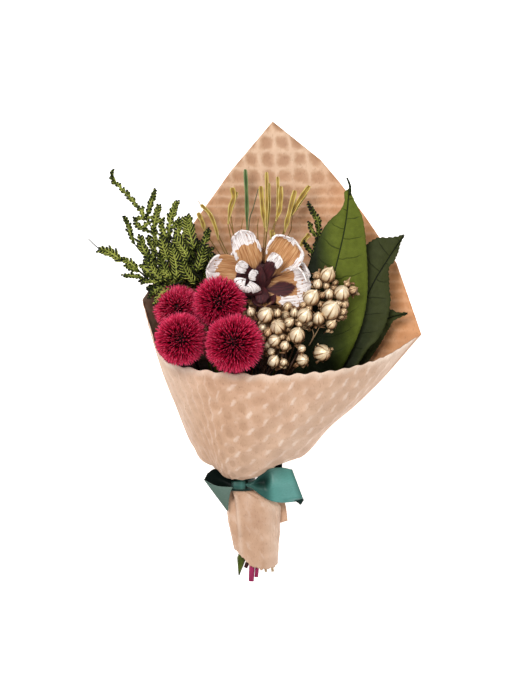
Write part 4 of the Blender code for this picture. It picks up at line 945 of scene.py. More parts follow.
def goldMaterial():
    # Flax seed capsules under sprayed champagne gold paint: metal flakes in a satin lacquer, browner in the
    # seams, with painted shade on the sides turned away from the light
    finish = {"Metallic": 0.35, "Roughness": 0.4}
    material, tree, shader, (seam,) = startMaterial("goldSprayPaint", finish, "seam")
    place = addNode(tree, "TexCoord").outputs["Object"]
    # flakes are 0.05 mm wide; drawn coarser, so that they show
    flake = addNode(tree, "TexNoise", {"Vector": place, "Scale": 1 / (0.6 * mm), "Detail": 3.0})
    # thin paint in the seams, and painted shade on the sides away from the light
    bareAndShaded = addNode(tree, "Math", (flake, 0.6, seam), operation="MULTIPLY_ADD")
    bareAndShaded = addNode(tree, "Math", (bareAndShaded, 0.3), operation="SUBTRACT")
    colour = addNode(tree, "ValToRGB", (bareAndShaded,), pods["tones"])
    bump = addNode(tree, "Bump", {"Height": flake, "Distance": 0.12 * mm})
    connect(tree, shader, {"Base Color": colour, "Normal": bump})
    return material


def shadedSideOf(points, centre):
    # painted shade round a middle: 0 facing the light, 1 behind
    facing = unit(np.asarray(points) - centre) @ pods["lightFrom"]
    return 1 - smoothStep(facing, -0.35, 0.8)


def addPod(shape, centre, radius, way, draw, bare=0.0):
    # a round capsule of ten ribs drawn in to a point, with little sepals under it
    rows, sides = 22, 40
    profile = smoothLine([(-1.0, 0.12), (-0.92, 0.45), (-0.6, 0.83), (-0.1, 1.0), (0.4, 0.92), (0.8, 0.62),
                          (1.05, 0.26), (1.42, 0.03)], rows)
    turn = np.linspace(0, 2 * math.pi, sides, endpoint=False)[None, :]
    groove = hump(np.sin(turn * 2.5), 0, 0.13) + 0.3 * hump(np.sin(turn * 5), 0, 0.3)
    body = np.sin(np.linspace(0, math.pi, rows))[:, None]
    ribbed = profile[:, 1:] * radius * (1 - 0.07 * groove * body)
    guide = unit(np.cross(way, (0.3, 0.5, 0.81)))
    other = np.cross(way, guide)
    ring = (centre + way * (profile[:, :1] * radius)[..., None]
            + ribbed[..., None] * (np.cos(turn)[..., None] * guide + np.sin(turn)[..., None] * other))
    index = np.arange(rows * sides).reshape(rows, sides)
    after = np.roll(index, -1, 1)
    quads = np.stack([index[:-1], after[:-1], after[1:], index[1:]], -1).reshape(-1, 4)
    points = ring.reshape(-1, 3)
    shape.add(points, [quads, index[:1, ::-1], index[-1:]],
              seam=(groove * body * 0.6).ravel() + 0.8 * shadedSideOf(points, centre) + bare)
    for number in range(5):
        angle = 2 * math.pi * number / 5 + draw.uniform(-0.2, 0.2)
        out = guide * math.cos(angle) + other * math.sin(angle)
        sepal = [centre + (out * side - way * down) * radius
                 for side, down in ((0.1, 1.0), (0.62, 0.86), (1.0, 0.42), (1.16, 0.1))]
        points, faces = tube(smoothLine(sepal, 6), pods["sepal"] * radius, 6, 0.35, lift=tuple(out))
        shape.add(points, faces, seam=0.2 + bare + 0.7 * shadedSideOf(points, centre))


def makeSeedSpray(name, material):
    draw = np.random.default_rng(sum(map(ord, name)))
    large = pods["places"][name]
    middle = np.array([centre for centre, _ in large]).mean(axis=0)
    fork = middle + (stems["bundle"] - middle) * 0.42
    shape = Shape()
    stem, thick = stemLine(name, [middle + (stems["bundle"] - middle) * 0.2 - (0, 0, 8), fork])
    shape.add(*tube(stem, thick, 8), seam=np.repeat(np.interp(stem[:, 1], (-146, -138), (0.25, 1.0)), 8))
    grown = [(np.array(centre), radius) for centre, radius in large]
    # smaller pods fill the gaps among the large ones, a little lower
    for centre, radius in list(grown):
        for _ in range(12):
            angle = draw.uniform(0, 2 * math.pi)
            small = draw.uniform(2.0, 3.5)
            apart = radius + small
            place = centre + (math.cos(angle) * apart, math.sin(angle) * apart, -draw.uniform(2, 6))
            others = [other for group in pods["places"].values() for other in group] + grown
            gaps = [np.linalg.norm((place - np.array(spot))[:2]) - (small + reach) * 0.74
                    for spot, reach in others]
            clear = all(math.dist(place[:2], spot) > reach for spot, reach in pods["keepClear"])
            room = 0 < place[1] < 52 and place[0] > 4 and len(grown) < pods["fill"] * len(large)
            if min(gaps) > 0 and clear and room:
                grown.append((place, small))
    for number, (centre, radius) in enumerate(grown):
        radius *= pods["growth"]
        way = unit(unit(centre - fork) + (draw.uniform(-0.6, 0.6), draw.uniform(-0.6, 0.6), 0.6))
        bare = draw.uniform(-0.08, 0.08) if number < len(large) else draw.uniform(0.05, 0.4)
        addPod(shape, centre, radius, way, draw, bare)
        bend = centre + (fork - centre) * 0.3 - (0, 0, 17)
        stalk = smoothLine([centre - way * radius * 0.8, centre - (0, 1, 7), bend, fork + (0, 1, 0)], 16)
        shape.add(*tube(stalk, np.linspace(0.28, 0.45, 16), 6), seam=np.repeat(np.linspace(0.5, 1.1, 16), 6))
        # withered florets: thin curled husks beside the pod
        for _ in range(6):
            angle = draw.uniform(0, 2 * math.pi)
            root = centre + np.array((math.cos(angle), math.sin(angle), -1.1)) * radius * 1.05
            belly = root + draw.normal(0, 1.3, 3) + (0, 0, 0.8)
            end = root + draw.normal(0, 2.2, 3).clip(-3.0, 3.0) + (0, 0, 1.2)
            husk = smoothLine([root, belly, end], 6)
            shape.add(*tube(husk, pods["husk"], 5, 0.3), seam=draw.uniform(0.35, 0.85))
    if name == "seed_spray_right":
        for line in pods["fork"]:
            shape.add(*tube(smoothLine(line, 12), np.linspace(0.28, 0.42, 12), 6), seam=0.45)
    pieceName = camelCase(name.replace("seed_spray", "gold_pods"))
    return finishPiece(pieceName, shape, material, [name])


# Leaves

leaves = {
    # rib from stalk to tip; half widths to its left and right at shares of its length
    "leaf_front": dict(
        rib=[(30, -34, 40), (37, -8, 45), (48, 28, 50), (56, 58, 52), (62.3, 86, 52), (65.3, 111.4, 50)],
        left=[(0.0, 2), (0.15, 12), (0.3, 19), (0.5, 19.4), (0.63, 17.6), (0.70, 16.2), (0.75, 14.6),
              (0.80, 12.0), (0.835, 8.8), (0.862, 5.8), (0.893, 3.6), (0.933, 2.4), (0.978, 3.0),
              (1.0, 0.3)],
        right=[(0.0, 2), (0.15, 20), (0.3, 26.5), (0.42, 27.5), (0.53, 25), (0.632, 21), (0.708, 17.5),
               (0.777, 14.5), (0.816, 12.6), (0.862, 10.2), (0.893, 7.7), (0.933, 4.5), (0.978, 1.3),
               (1.0, 0.3)],
        teeth=34, toothDepth=0.25, droop=0.16, vein=14.0,
        thread=[(65.6, 107.0, 51.0), (65.5, 113.5, 51.5), (63.4, 119.0, 52.0)]),
    "leaf_middle": dict(
        rib=[(44, -36, 32), (58, -10, 37), (70, 20, 41), (82, 46, 42), (93, 64, 42), (103.7, 80, 40)],
        left=[(0.0, 2), (0.2, 15), (0.5, 20), (0.75, 18.6), (0.863, 14.6), (0.905, 9.4), (0.955, 3.6),
              (1.0, 0.4)],
        right=[(0.0, 2), (0.15, 10), (0.298, 14.4), (0.353, 18.3), (0.427, 19.6), (0.484, 18.8),
               (0.549, 16.2), (0.616, 11.6), (0.68, 7.4), (0.72, 4.6), (0.756, 3.2), (0.79, 4.2),
               (0.863, 3.3), (0.933, 1), (1.0, 0.4)],
        teeth=36, toothDepth=0.6, droop=0.10, vein=13.0),
    "leaf_back": dict(
        rib=[(47, -40, 22), (60, -24, 25), (71, -8, 29), (80, 7, 32), (90, 20.5, 36), (106.2, 25.6, 39)],
        left=[(0.0, 2), (0.2, 12), (0.45, 16), (0.63, 14), (0.80, 8.6), (0.87, 5.6), (0.92, 2.2),
              (0.96, 1.3), (1.0, 0.4)],
        right=[(0.0, 2), (0.22, 5), (0.44, 7), (0.63, 7.6), (0.80, 6.2), (0.87, 2.8), (0.93, 1.3),
               (1.0, 0.4)],
        teeth=26, toothDepth=0.5, droop=0.05, vein=12.0),
}
leafBlade = {
    "rows": 150, "columns": 31, "thickness": 0.5,
    "cell": 0.0026,  # width of a skin cell as a share of the leaf's size
    # tones from the shaded to the lit parts, colour of the veins and roughness
    "olive": ({0.0: "#181f0b", 0.5: "#404a16", 1.0: "#626c22"}, "#1e2810", 0.5),
    "deep": ({0.0: "#1a1f0e", 0.5: "#2b3116", 1.0: "#3b401f"}, "#10160a", 0.45),
}


def leafMaterial(name, stops, veinCode, roughness):
    # Preserved evergreen leaf: waxy upper skin with a soft shine, darker sunken veins and fine cell mottling
    material, tree, shader, (along, across, pitch, edge, tone) = startMaterial(
        name, {"Roughness": roughness, "IOR": 1.45, "Specular IOR Level": 0.12},
        "ribAlong", "ribAcross", "veinPitch", "edge", "tone")
    place = addNode(tree, "TexCoord").outputs["Object"]
    # side veins leave the rib by turns and bend towards the tip
    out = addNode(tree, "Math", (across,), operation="ABSOLUTE")
    bend = addNode(tree, "Math", (out, 0.022, 0.1), operation="MULTIPLY_ADD")
    bend = addNode(tree, "Math", (bend, out), operation="MULTIPLY")
    run = addNode(tree, "Math", (along, bend), operation="SUBTRACT")
    half = addNode(tree, "Math", (across,), operation="SIGN")
    run = addNode(tree, "Math", (half, 3.0, run), operation="MULTIPLY_ADD")
    wobble = addNode(tree, "TexNoise", {"Vector": place, "Scale": 1 / (9.0 * mm), "Detail": 2.0})
    run = addNode(tree, "Math", (wobble, 5.0, run), operation="MULTIPLY_ADD")
    run = addNode(tree, "Math", (run, 2.5), operation="SUBTRACT")
    cell = addNode(tree, "Math", (run, pitch), operation="DIVIDE")
    cell = addNode(tree, "Math", (cell,), operation="FRACT")
    near = addNode(tree, "Math", (cell, 0.5), operation="SUBTRACT")
    near = addNode(tree, "Math", (near,), operation="ABSOLUTE")
    fading = addNode(tree, "MapRange", (edge, 0.6, 0.95, 0.65, 0.0), **smooth)
    side = addNode(tree, "MapRange", (near, 0.008, 0.035, fading, 0.0), **smooth)
    rib = addNode(tree, "MapRange", (out, 0.25, 0.6, 1.0, 0.0), **smooth)
    vein = addNode(tree, "Math", (side, rib), operation="MAXIMUM")
    colour = addNode(tree, "ValToRGB", (tone,), stops)
    patches = addNode(tree, "TexNoise", {"Vector": place, "Scale": 1 / (4.0 * mm), "Detail": 4.0})
    mottle = addNode(tree, "ValToRGB", (patches,), {0.3: "#c9c9b8", 0.7: "#ffffff"})
    colour = addNode(tree, "Mix", {0: 0.6, 6: colour, 7: mottle}, **darken)
    # skin cells, drawn a few tenths of a millimetre wide, which is coarser than life, so that they show
    net = addNode(tree, "TexVoronoi", {"Scale": 1 / leafBlade["cell"]}, feature="DISTANCE_TO_EDGE")
    netting = addNode(tree, "ValToRGB", (net,), {0.0: "#bfc4a8", 0.08: "#ffffff"})
    colour = addNode(tree, "Mix", {0: 0.7, 6: colour, 7: netting}, **darken)
    colour = addNode(tree, "Mix", {0: vein, 6: colour, 7: hexColour(veinCode)}, **tint)
    height = addNode(tree, "Math", (net, 0.4), operation="MULTIPLY")
    height = addNode(tree, "Math", (height, vein), operation="SUBTRACT")
    bump = addNode(tree, "Bump", {"Height": height, "Distance": 0.35 * mm})
    connect(tree, shader, {"Base Color": colour, "Normal": bump})
    return material


def makeLeaf(name, material):
    leaf = leaves[name]
    share = np.linspace(0, 1, leafBlade["rows"])[:, None]
    across = np.linspace(-1, 1, leafBlade["columns"])[None, :]
    line = smoothLine(leaf["rib"], leafBlade["rows"])
    ahead = unit(np.gradient(line, axis=0))
    side = unit(np.cross(ahead, (0, 0, 1)))
    halves = {}
    for key in ("left", "right"):
        curve = smoothLine(leaf[key], 300)
        halves[key] = np.interp(share, curve[:, 0], curve[:, 1]).clip(0.3)
    half = np.where(across < 0, halves["left"], halves["right"])
    saw = 1 - (share * leaf["teeth"]) % 1.0
    tooth = leaf["toothDepth"] * saw * smoothStep(np.abs(across), 0.9, 1.0) * smoothStep(share, 0.1, 0.25)
    reach = half * across + np.sign(across) * tooth
    grid = line[:, None] + side[:, None] * reach[..., None]
    # the serrations point to the tip
    grid = grid + ahead[:, None] * (tooth * 1.2)[..., None]
    length = np.concatenate([[0], np.cumsum(np.linalg.norm(np.diff(line, axis=0), axis=1))])[:, None]
    run = length - 0.10 * np.abs(reach) - 0.022 * reach ** 2 + 3.0 * np.sign(reach)
    puff = np.abs(np.sin(run / leaf["vein"] * math.pi)) * smoothStep(np.abs(across), 0.02, 0.3)
    wave = waves(share * 9 + np.sign(across) * 2, len(name), (2.3, 3.7), 0.9) * np.abs(across) ** 2
    grid[..., 2] += 0.35 * puff + wave - leaf["droop"] * np.abs(reach) * np.abs(across)
    grid[..., 2] -= 0.5 * hump(reach, 0, 1.2)
    if name == "leaf_middle":  # the lower half of its right side curls up and over
        grid[..., 2] += smoothStep(across, 0.3, 1.0) * between(share, 0.05, 0.2, 0.45, 0.66) * 4.0
    points, faces = thickSheet(grid, leafBlade["thickness"])
    light = smoothStep(share + 0.26 * across, 0.34, 0.66) - 0.1 * smoothStep(-across, 0.5, 1.0)
    if name == "leaf_middle":
        light = light + 0.5 * smoothStep(across, 0.72, 1.0) * (1 - smoothStep(share, 0.5, 0.7))
    shape = Shape()
    shape.add(points, faces, veinPitch=leaf["vein"], ribAlong=length + 0 * across, ribAcross=reach,
              edge=np.abs(across) + 0 * share, tone=light)
    shape.add(*tube(*stemLine(name, [line[8] - (0, 0, 0.6), line[0]]), 8), veinPitch=leaf["vein"], tone=0.0,
              ribAcross=9.0, edge=1.0)
    if name == "leaf_front":  # a dry thread stands beyond its tip
        thread = tube(smoothLine(leaf["thread"], 10), np.linspace(1.1, 0.6, 10), 6)
        shape.add(*thread, veinPitch=leaf["vein"], tone=0.0, ribAcross=0.0)
    return finishPiece(camelCase("evergreen_" + name), shape, material, [name])


# Conifer sprays

conifers = {
    # height over the table at the foot; woody stems; blades of side twigs with their half width
    "conifer_spray_1": (22.0, [
        [(-38, 42), (-50, 62), (-62, 76), (-70.8, 84.2), (-76.5, 91.7), (-80.2, 96.9)]], [
        ([(-80.2, 96.9), (-83, 101.2), (-86.5, 105.6), (-90.5, 109.8), (-95, 114.6), (-98.2, 117.3),
          (-99.6, 121), (-98.9, 124.6)], 2.4),
        ([(-75.5, 91.2), (-79, 92.2), (-82.6, 91.7)], 2.3), ([(-76.2, 91.6), (-74, 92.6), (-71.8, 92)], 2.0),
        ([(-76, 92.5), (-74.2, 97.5), (-72.6, 102.3), (-70.9, 106.8), (-69.6, 111.5)], 2.8),
        ([(-73, 82.6), (-78.5, 84.7), (-82.4, 87.7), (-84, 92)], 2.4),
        ([(-70.8, 84.2), (-69.8, 90.2), (-68.5, 95.6), (-67, 100.4)], 3.2),
        ([(-69.5, 87.6), (-66.8, 90.2), (-64.2, 91)], 2.0),
        ([(-66, 72), (-70.2, 77), (-70.6, 85)], 3.8), ([(-77, 91.5), (-78.6, 95.4), (-78.2, 99.6)], 2.0),
        ([(-78.0, 84.0), (-76.4, 87.2), (-73.6, 89.6)], 2.4),
        ([(-52.0, 77.0), (-50.2, 79.6), (-48.6, 82.4)], 2.2),
        ([(-68, 66), (-71.5, 72), (-74.8, 78.4)], 2.8)]),
    "conifer_spray_2": (28.0, [
        [(-34, 44), (-42, 60), (-50, 72), (-60, 80.3)], [(-37, 50), (-40, 62), (-43.3, 72.3)],
        [(-33, 44), (-33, 58), (-35.9, 71.4)]], [
        ([(-60.1, 78), (-59.5, 87.2), (-58.2, 93.2), (-56.2, 98.6), (-53.9, 103.4)], 3.4),
        ([(-59, 84), (-56.4, 86.6), (-54.6, 89.4)], 2.0), ([(-61, 77), (-64, 82.6), (-65.4, 88)], 2.8),
        ([(-52, 74), (-53.8, 83), (-52.6, 91)], 3.4),
        ([(-42.5, 70), (-45.1, 80.3), (-46.8, 86.2), (-47.5, 93.6)], 5.2),
        ([(-37, 67), (-34.6, 77), (-32.3, 83.6)], 3.0),
        ([(-33, 52), (-31, 60), (-29, 67)], 3.0)]),
    "conifer_spray_3": (33.0, [
        [(-45, 50), (-60, 54), (-68.5, 57.4), (-74.2, 63.1), (-80, 69), (-84.4, 74.8)],
        [(-42, 46), (-58, 46), (-71.4, 47.3), (-78.5, 53.1), (-87.2, 60.3), (-92.9, 63.1),
         (-100.1, 68.2), (-108, 70.3), (-115.2, 76.8)]], [
        ([(-83.5, 73.5), (-86.4, 80.3), (-87.9, 87.2), (-90.6, 92)], 2.6),
        ([(-73.5, 62.5), (-76.5, 68.4), (-78.7, 73.3), (-79.6, 79)], 4.0),
        ([(-71, 62), (-70.6, 66), (-71, 69.5)], 1.6),
        ([(-92.3, 61.4), (-96.8, 65.4), (-101.8, 68.3), (-108, 69.3)], 4.2),
        ([(-80.5, 54.6), (-86, 60), (-92, 63)], 3.0), ([(-80, 54.6), (-85, 56.2), (-90, 58.7)], 2.2),
        ([(-77.5, 50.2), (-84, 51.4), (-91.4, 51.5)], 2.2), ([(-66, 46), (-72, 47.8), (-78.5, 47)], 1.8),
        ([(-60, 44), (-68, 42), (-74, 36)], 2.4)]),
    "conifer_spray_4": (38.0, [
        [(-38, 50), (-50, 60), (-58, 70)], [(-46, 52), (-58, 51), (-70, 50.2)], [(-50, 48), (-60, 44)]], [
        ([(-71, 52), (-76, 56), (-79.8, 58.7)], 1.7), ([(-70, 53), (-73.6, 58), (-76, 62)], 2.0),
        ([(-40, 54), (-37.4, 63), (-34.5, 72)], 4.6), ([(-54.2, 48.8), (-55, 60.3), (-58, 72)], 4.6),
        ([(-59.9, 47.3), (-63, 57.4), (-66.6, 68)], 4.2), ([(-57, 50), (-63, 53.6), (-68.4, 55)], 2.6),
        ([(-60, 62), (-63, 70), (-65, 80)], 3.6), ([(-64, 48), (-70, 54), (-73, 62)], 3.0),
        ([(-58, 43), (-65, 39), (-69.5, 32)], 2.4), ([(-46, 62), (-50, 70), (-56, 78)], 4.0),
        ([(-41, 46), (-47, 53), (-51, 62)], 5.0)]),
    "conifer_sprig": (34.0, [[(40, 66), (43, 78), (44.4, 86)], [(42, 62), (37, 67)]], [
        ([(43, 76), (44.6, 83), (43.8, 90), (40.8, 96), (37.2, 102.6)], 2.8),
        ([(42, 79), (39.6, 84), (37.8, 89.4)], 2.0),
        ([(42, 66), (38, 70), (34.6, 75)], 2.2), ([(40, 64), (42, 70), (43.5, 78)], 2.4)]),
}
twigs = {"pitch": 3.6, "fillTo": 32.0, "longest": 11.0, "shortest": 7.0, "forkPitch": 1.2, "forkAngle": 45.0,
         "halfWidth": 3.0, "clump": 4.2,
         "scalePitch": 0.95, "scaleLength": 1.75, "scaleHalf": 0.55,  # larger than life, so that they show
         "slope": 0.2, "slopeFrom": (-38.0, 44.0),
         "tones": {0.0: "#0b0e01", 0.3: "#202805", 0.6: "#4e5c16", 1.0: "#bcc25e"}}


def coniferMaterial():
    # Cypress twigs clad in overlapping scale leaves: waxy and yellow-green where young; painted light makes
    # them lighter on top, and painted shade makes them nearly black where they are shaded
    material, tree, shader, (young,) = startMaterial(
        "cypressScales", {"Roughness": 0.5, "IOR": 1.45, "Specular IOR Level": 0.25}, "young")
    place = addNode(tree, "TexCoord").outputs["Object"]
    patches = addNode(tree, "TexNoise", {"Vector": place, "Scale": 1 / (6.0 * mm), "Detail": 4.0})
    tone = addNode(tree, "Math", (patches, 0.7, young), operation="MULTIPLY_ADD")
    tone = addNode(tree, "Math", (tone, 0.35), operation="SUBTRACT")
    colour = addNode(tree, "ValToRGB", (tone,), twigs["tones"])
    connect(tree, shader, {"Base Color": colour})
    return material


def addScaleLeaves(shape, base, ahead, side, length, half, tone):
    # small keeled leaves: five points and six faces each
    up = np.cross(side, ahead)
    length, half = length[:, None], half[:, None]
    middle = base + ahead * length * 0.45
    points = np.stack([base, middle - side * half, middle + side * half, middle + up * half * 0.7,
                       base + ahead * length], 1)
    start = np.arange(len(base))[:, None] * 5
    corners = [(0, 3, 1), (0, 2, 3), (4, 1, 3), (4, 3, 2), (0, 1, 2), (4, 2, 1)]
    faces = np.concatenate([start + np.array([corner]) for corner in corners])
    # painted light and shade: each leaf is dark at its base and lighter on its keel and tip
    shape.add(points, faces, young=tone[:, None] + np.array([[-0.35, -0.12, -0.12, 0.26, 0.24]]))


def shading(share):
    # painted shade: a side twig is dark where it starts under its rib and again at its very tip
    return 0.76 * np.sin(math.pi * np.clip(share, 0, 1) ** 0.8) - 0.36


def addTwig(shape, line, draw, tone, size=1.0, spreading=0.55):
    # a cord of scale leaves, in pairs at the sides and single ones on top
    length = np.concatenate([[0], np.cumsum(np.linalg.norm(np.diff(line, axis=0), axis=1))])
    places = np.arange(0.2, length[-1], twigs["scalePitch"] * size)
    if len(places) < 2:
        places = np.array((0.2, length[-1] * 0.6))
    base = np.stack([np.interp(places, length, line[:, axis]) for axis in range(3)], -1)
    ahead = unit(np.gradient(base, axis=0))
    side = unit(np.cross(ahead, (0.0, 0.0, 1.0)))
    up = np.cross(side, ahead)
    share = places / length[-1]
    large = size * (1.0 - 0.35 * share ** 2)
    for way in (-1, 0, 1):
        raised, lifted = (0.28, 0.15) if way == 0 else (0.0, 0.0)
        spread = unit(ahead + side * way * spreading + up * raised + draw.normal(0, 0.06, base.shape))
        across = unit(np.cross(spread, up + 1e-3))
        jitter = draw.uniform(0.85, 1.15, len(base))
        addScaleLeaves(shape, base - ahead * 0.2 + up * lifted, spread, across,
                       twigs["scaleLength"] * large * jitter, twigs["scaleHalf"] * large * jitter,
                       tone + shading(share) + draw.normal(0, 0.08, len(base)))


def sprayHeight(name, x, y):
    height = conifers[name][0]
    if name == "conifer_sprig":
        return height
    return height + twigs["slope"] * math.dist((x, y), twigs["slopeFrom"])


def addFrond(shape, line, draw, tone, half):
    # a flat blade of side twigs, like a feather, as wide as the half width says in its middle
    length = float(np.linalg.norm(np.diff(line, axis=0), axis=1).sum())
    steps = len(line) - 1
    addTwig(shape, line, draw, tone)
    angle = math.radians(twigs["forkAngle"])
    start = draw.uniform(0, math.pi)
    for number, run in enumerate(np.arange(0.4, length - 0.3, twigs["forkPitch"])):
        share = run / length
        index = min(int(share * steps), steps - 1)
        ahead = unit(line[index + 1] - line[index])
        side = unit(np.cross(ahead, (0, 0, 1))) * (1 if number % 2 else -1)
        reach = half * (0.35 + 0.65 * math.sin(math.pi * min(1.0, share * 0.85 + 0.15))) / math.sin(angle)
        clumped = 0.78 + 0.34 * abs(math.sin(start + run * math.pi / twigs["clump"]))
        reach *= draw.uniform(0.85, 1.15) * clumped
        out = unit(ahead * math.cos(angle) + side * math.sin(angle) + (0, 0, draw.uniform(-0.12, 0.12)))
        base = line[index]
        end = base + out * reach * 0.85 + ahead * reach * 0.15
        fork = smoothLine([base, base + out * reach * 0.6, end], 5)
        addTwig(shape, fork, draw, tone + draw.uniform(-0.12, 0.16), 0.72, 0.22)
        # shaded twigs a little lower close the gaps between those that show
        under = fork * 0.92 + base * 0.08 + ahead * twigs["forkPitch"] - (0, 0, 1.1)
        shape.add(*tube(under, (0.5, 0.8, 0.85, 0.7, 0.3), 4, 0.4), young=tone - 0.42)


def makeConifer(name, material):
    draw = np.random.default_rng(sum(map(ord, name)))
    shape = Shape()
    _, axes, blades = conifers[name]
    for number, axis in enumerate(axes):
        line = smoothLine([(x, y, sprayHeight(name, x, y)) for x, y in axis], 60)
        if number == 0:
            stem, radii = stemLine(name, [line[0]])
            shape.add(*tube(stem[1:], radii[1:], 8), young=0.5)
        shape.add(*tube(line, np.linspace(0.8, 0.35, 60), 6), young=0.05)
        if name == "conifer_sprig":
            continue
        # blades in painted shade fill the spray under the ones that show
        length = float(np.linalg.norm(np.diff(line, axis=0), axis=1).sum())
        for place in range(int(min(length, twigs["fillTo"]) / twigs["pitch"])):
            along = (place + 0.4) * twigs["pitch"] / length
            index = min(int(along * 59), 57)
            root = line[index] - (0, 0, 2.5)
            ahead = unit(line[index + 1] - line[index])
            side = unit(np.cross(ahead, (0, 0, 1))) * (1 if place % 2 else -1)
            reach = twigs["shortest"] + (twigs["longest"] - twigs["shortest"]) * (1 - along)
            reach *= draw.uniform(0.75, 1.15)
            way = ahead * 0.88 + side * draw.uniform(0.35, 0.6)
            way = unit(way + np.array((0, 0, draw.uniform(-0.15, 0.1))))
            twig = smoothLine([root, root + way * reach * 0.5 + side * reach * 0.07, root + way * reach], 14)
            addFrond(shape, twig, draw, draw.uniform(0.05, 0.28), twigs["halfWidth"])
    for number, (axis, half) in enumerate(blades):
        line = smoothLine([(x, y, sprayHeight(name, x, y) + 0.5 + 0.4 * number) for x, y in axis], 40)
        shape.add(*tube(line, np.linspace(0.45, 0.2, 40), 6), young=0.1)
        addFrond(shape, line, draw, draw.uniform(0.26, 0.62) - (0.25 if name == "conifer_sprig" else 0), half)
    return finishPiece(camelCase(name), shape, material, [name])


# Dried grass

grasses = {
    # ears from foot to tip with their half width; bare stalks
    "grass_gold": dict(root=(4.0, 40.0, 17.0), slot="grass_straw", ears=[
        ([(8.0, 83, 24), (8.4, 104, 23), (8.2, 125.5, 21)], 1.0),
        ([(6.8, 86, 22), (5.2, 101, 23), (4.1, 115.4, 23)], 1.4),
        ([(8.8, 87, 21), (9.6, 103, 20), (9.4, 118, 19)], 1.2),
        ([(14.7, 90.5, 25), (17.6, 101, 23), (18.2, 115.5, 21)], 1.5),
        ([(15.5, 97, 22), (16.4, 110, 20), (16.0, 122.4, 19)], 0.9),
        ([(21.0, 83, 25), (23.2, 93, 25), (28.2, 112.4, 23)], 1.5),
        ([(22.3, 90, 23), (29.0, 102, 22), (38.4, 115.8, 20)], 1.5),
        ([(24.0, 93, 22), (30.0, 101, 21), (36.4, 110.6, 19)], 0.8),
        ([(31.5, 72, 24), (34.6, 77, 25), (38.4, 81.6, 24)], 1.4),
        ([(12.9, 76.5, 24), (12.4, 80, 24), (11.8, 84.4, 23)], 1.6)],
        stalks=[((12, 84, 14), (18.6, 100, 15)), ((24, 82, 14), (27.0, 96, 16)),
                ((2, 80, 15), (2.4, 93, 16))]),
    "grass_left": dict(root=(-10.0, 46.0, 14.0), slot="grass_straw", ears=[
        ([(-19.0, 88.5, 22), (-17.2, 99.8, 21), (-14.9, 108, 20), (-16.2, 114.6, 20)], 1.6),
        ([(-17.2, 96, 20), (-15.0, 104, 19), (-12.6, 111.6, 19)], 0.9),
        ([(-25.8, 77.5, 20), (-27.6, 85.7, 20), (-31.7, 95.7, 20), (-38.2, 102.6, 19)], 1.1),
        ([(-35.4, 83.4, 18), (-37.2, 90.4, 18), (-40.4, 97.0, 18)], 1.3)],
        stalks=[((-31, 92, 17), (-40.6, 106.0, 17)), ((-15, 80, 12), (-18.6, 92, 14)),
                ((-9.0, 78, 12), (-8.4, 93, 14))]),
    "grass_green": dict(root=(-5.0, 44.0, 12.0), slot="grass_green", ears=[
        ([(-5.6, 84, 14), (-5.9, 108, 16), (-6.9, 127.8, 17)], 1.15)],
        stalks=[((-4.3, 88, 14), (2.3, 114, 15.5))]),
}
straws = {  # tones of each material, from painted shade in the fold to painted highlights on the edges
    "goldenStraw": {0.0: "#5a4018", 0.35: "#8f7030", 0.65: "#b7983e", 1.0: "#dccb7c"},
    "greenStraw": {0.0: "#24351a", 0.5: "#4b6232", 1.0: "#7f9058"},
}


def grassMaterial(name):
    # Dried and dyed grass: smooth glossy straw; its folded blades carry painted highlights along both
    # edges and painted shade in the fold
    material, tree, shader, (shine,) = startMaterial(name, {"Roughness": 0.38, "IOR": 1.5}, "shine")
    place = addNode(tree, "TexCoord").outputs["Object"]
    grain = addNode(tree, "Mapping", {"Vector": place, "Scale": (1.0, 0.15, 1.0)})
    # veins are 0.2 mm apart; drawn coarser, so that they show
    streak = addNode(tree, "TexNoise", {"Vector": grain, "Scale": 1 / (1.0 * mm), "Detail": 3.0})
    tone = addNode(tree, "Math", (streak, 0.5, shine), operation="MULTIPLY_ADD")
    tone = addNode(tree, "Math", (tone, 0.25), operation="SUBTRACT")
    colour = addNode(tree, "ValToRGB", (tone,), straws[name])
    bump = addNode(tree, "Bump", {"Height": streak, "Distance": 0.15 * mm})
    connect(tree, shader, {"Base Color": colour, "Normal": bump})
    return material


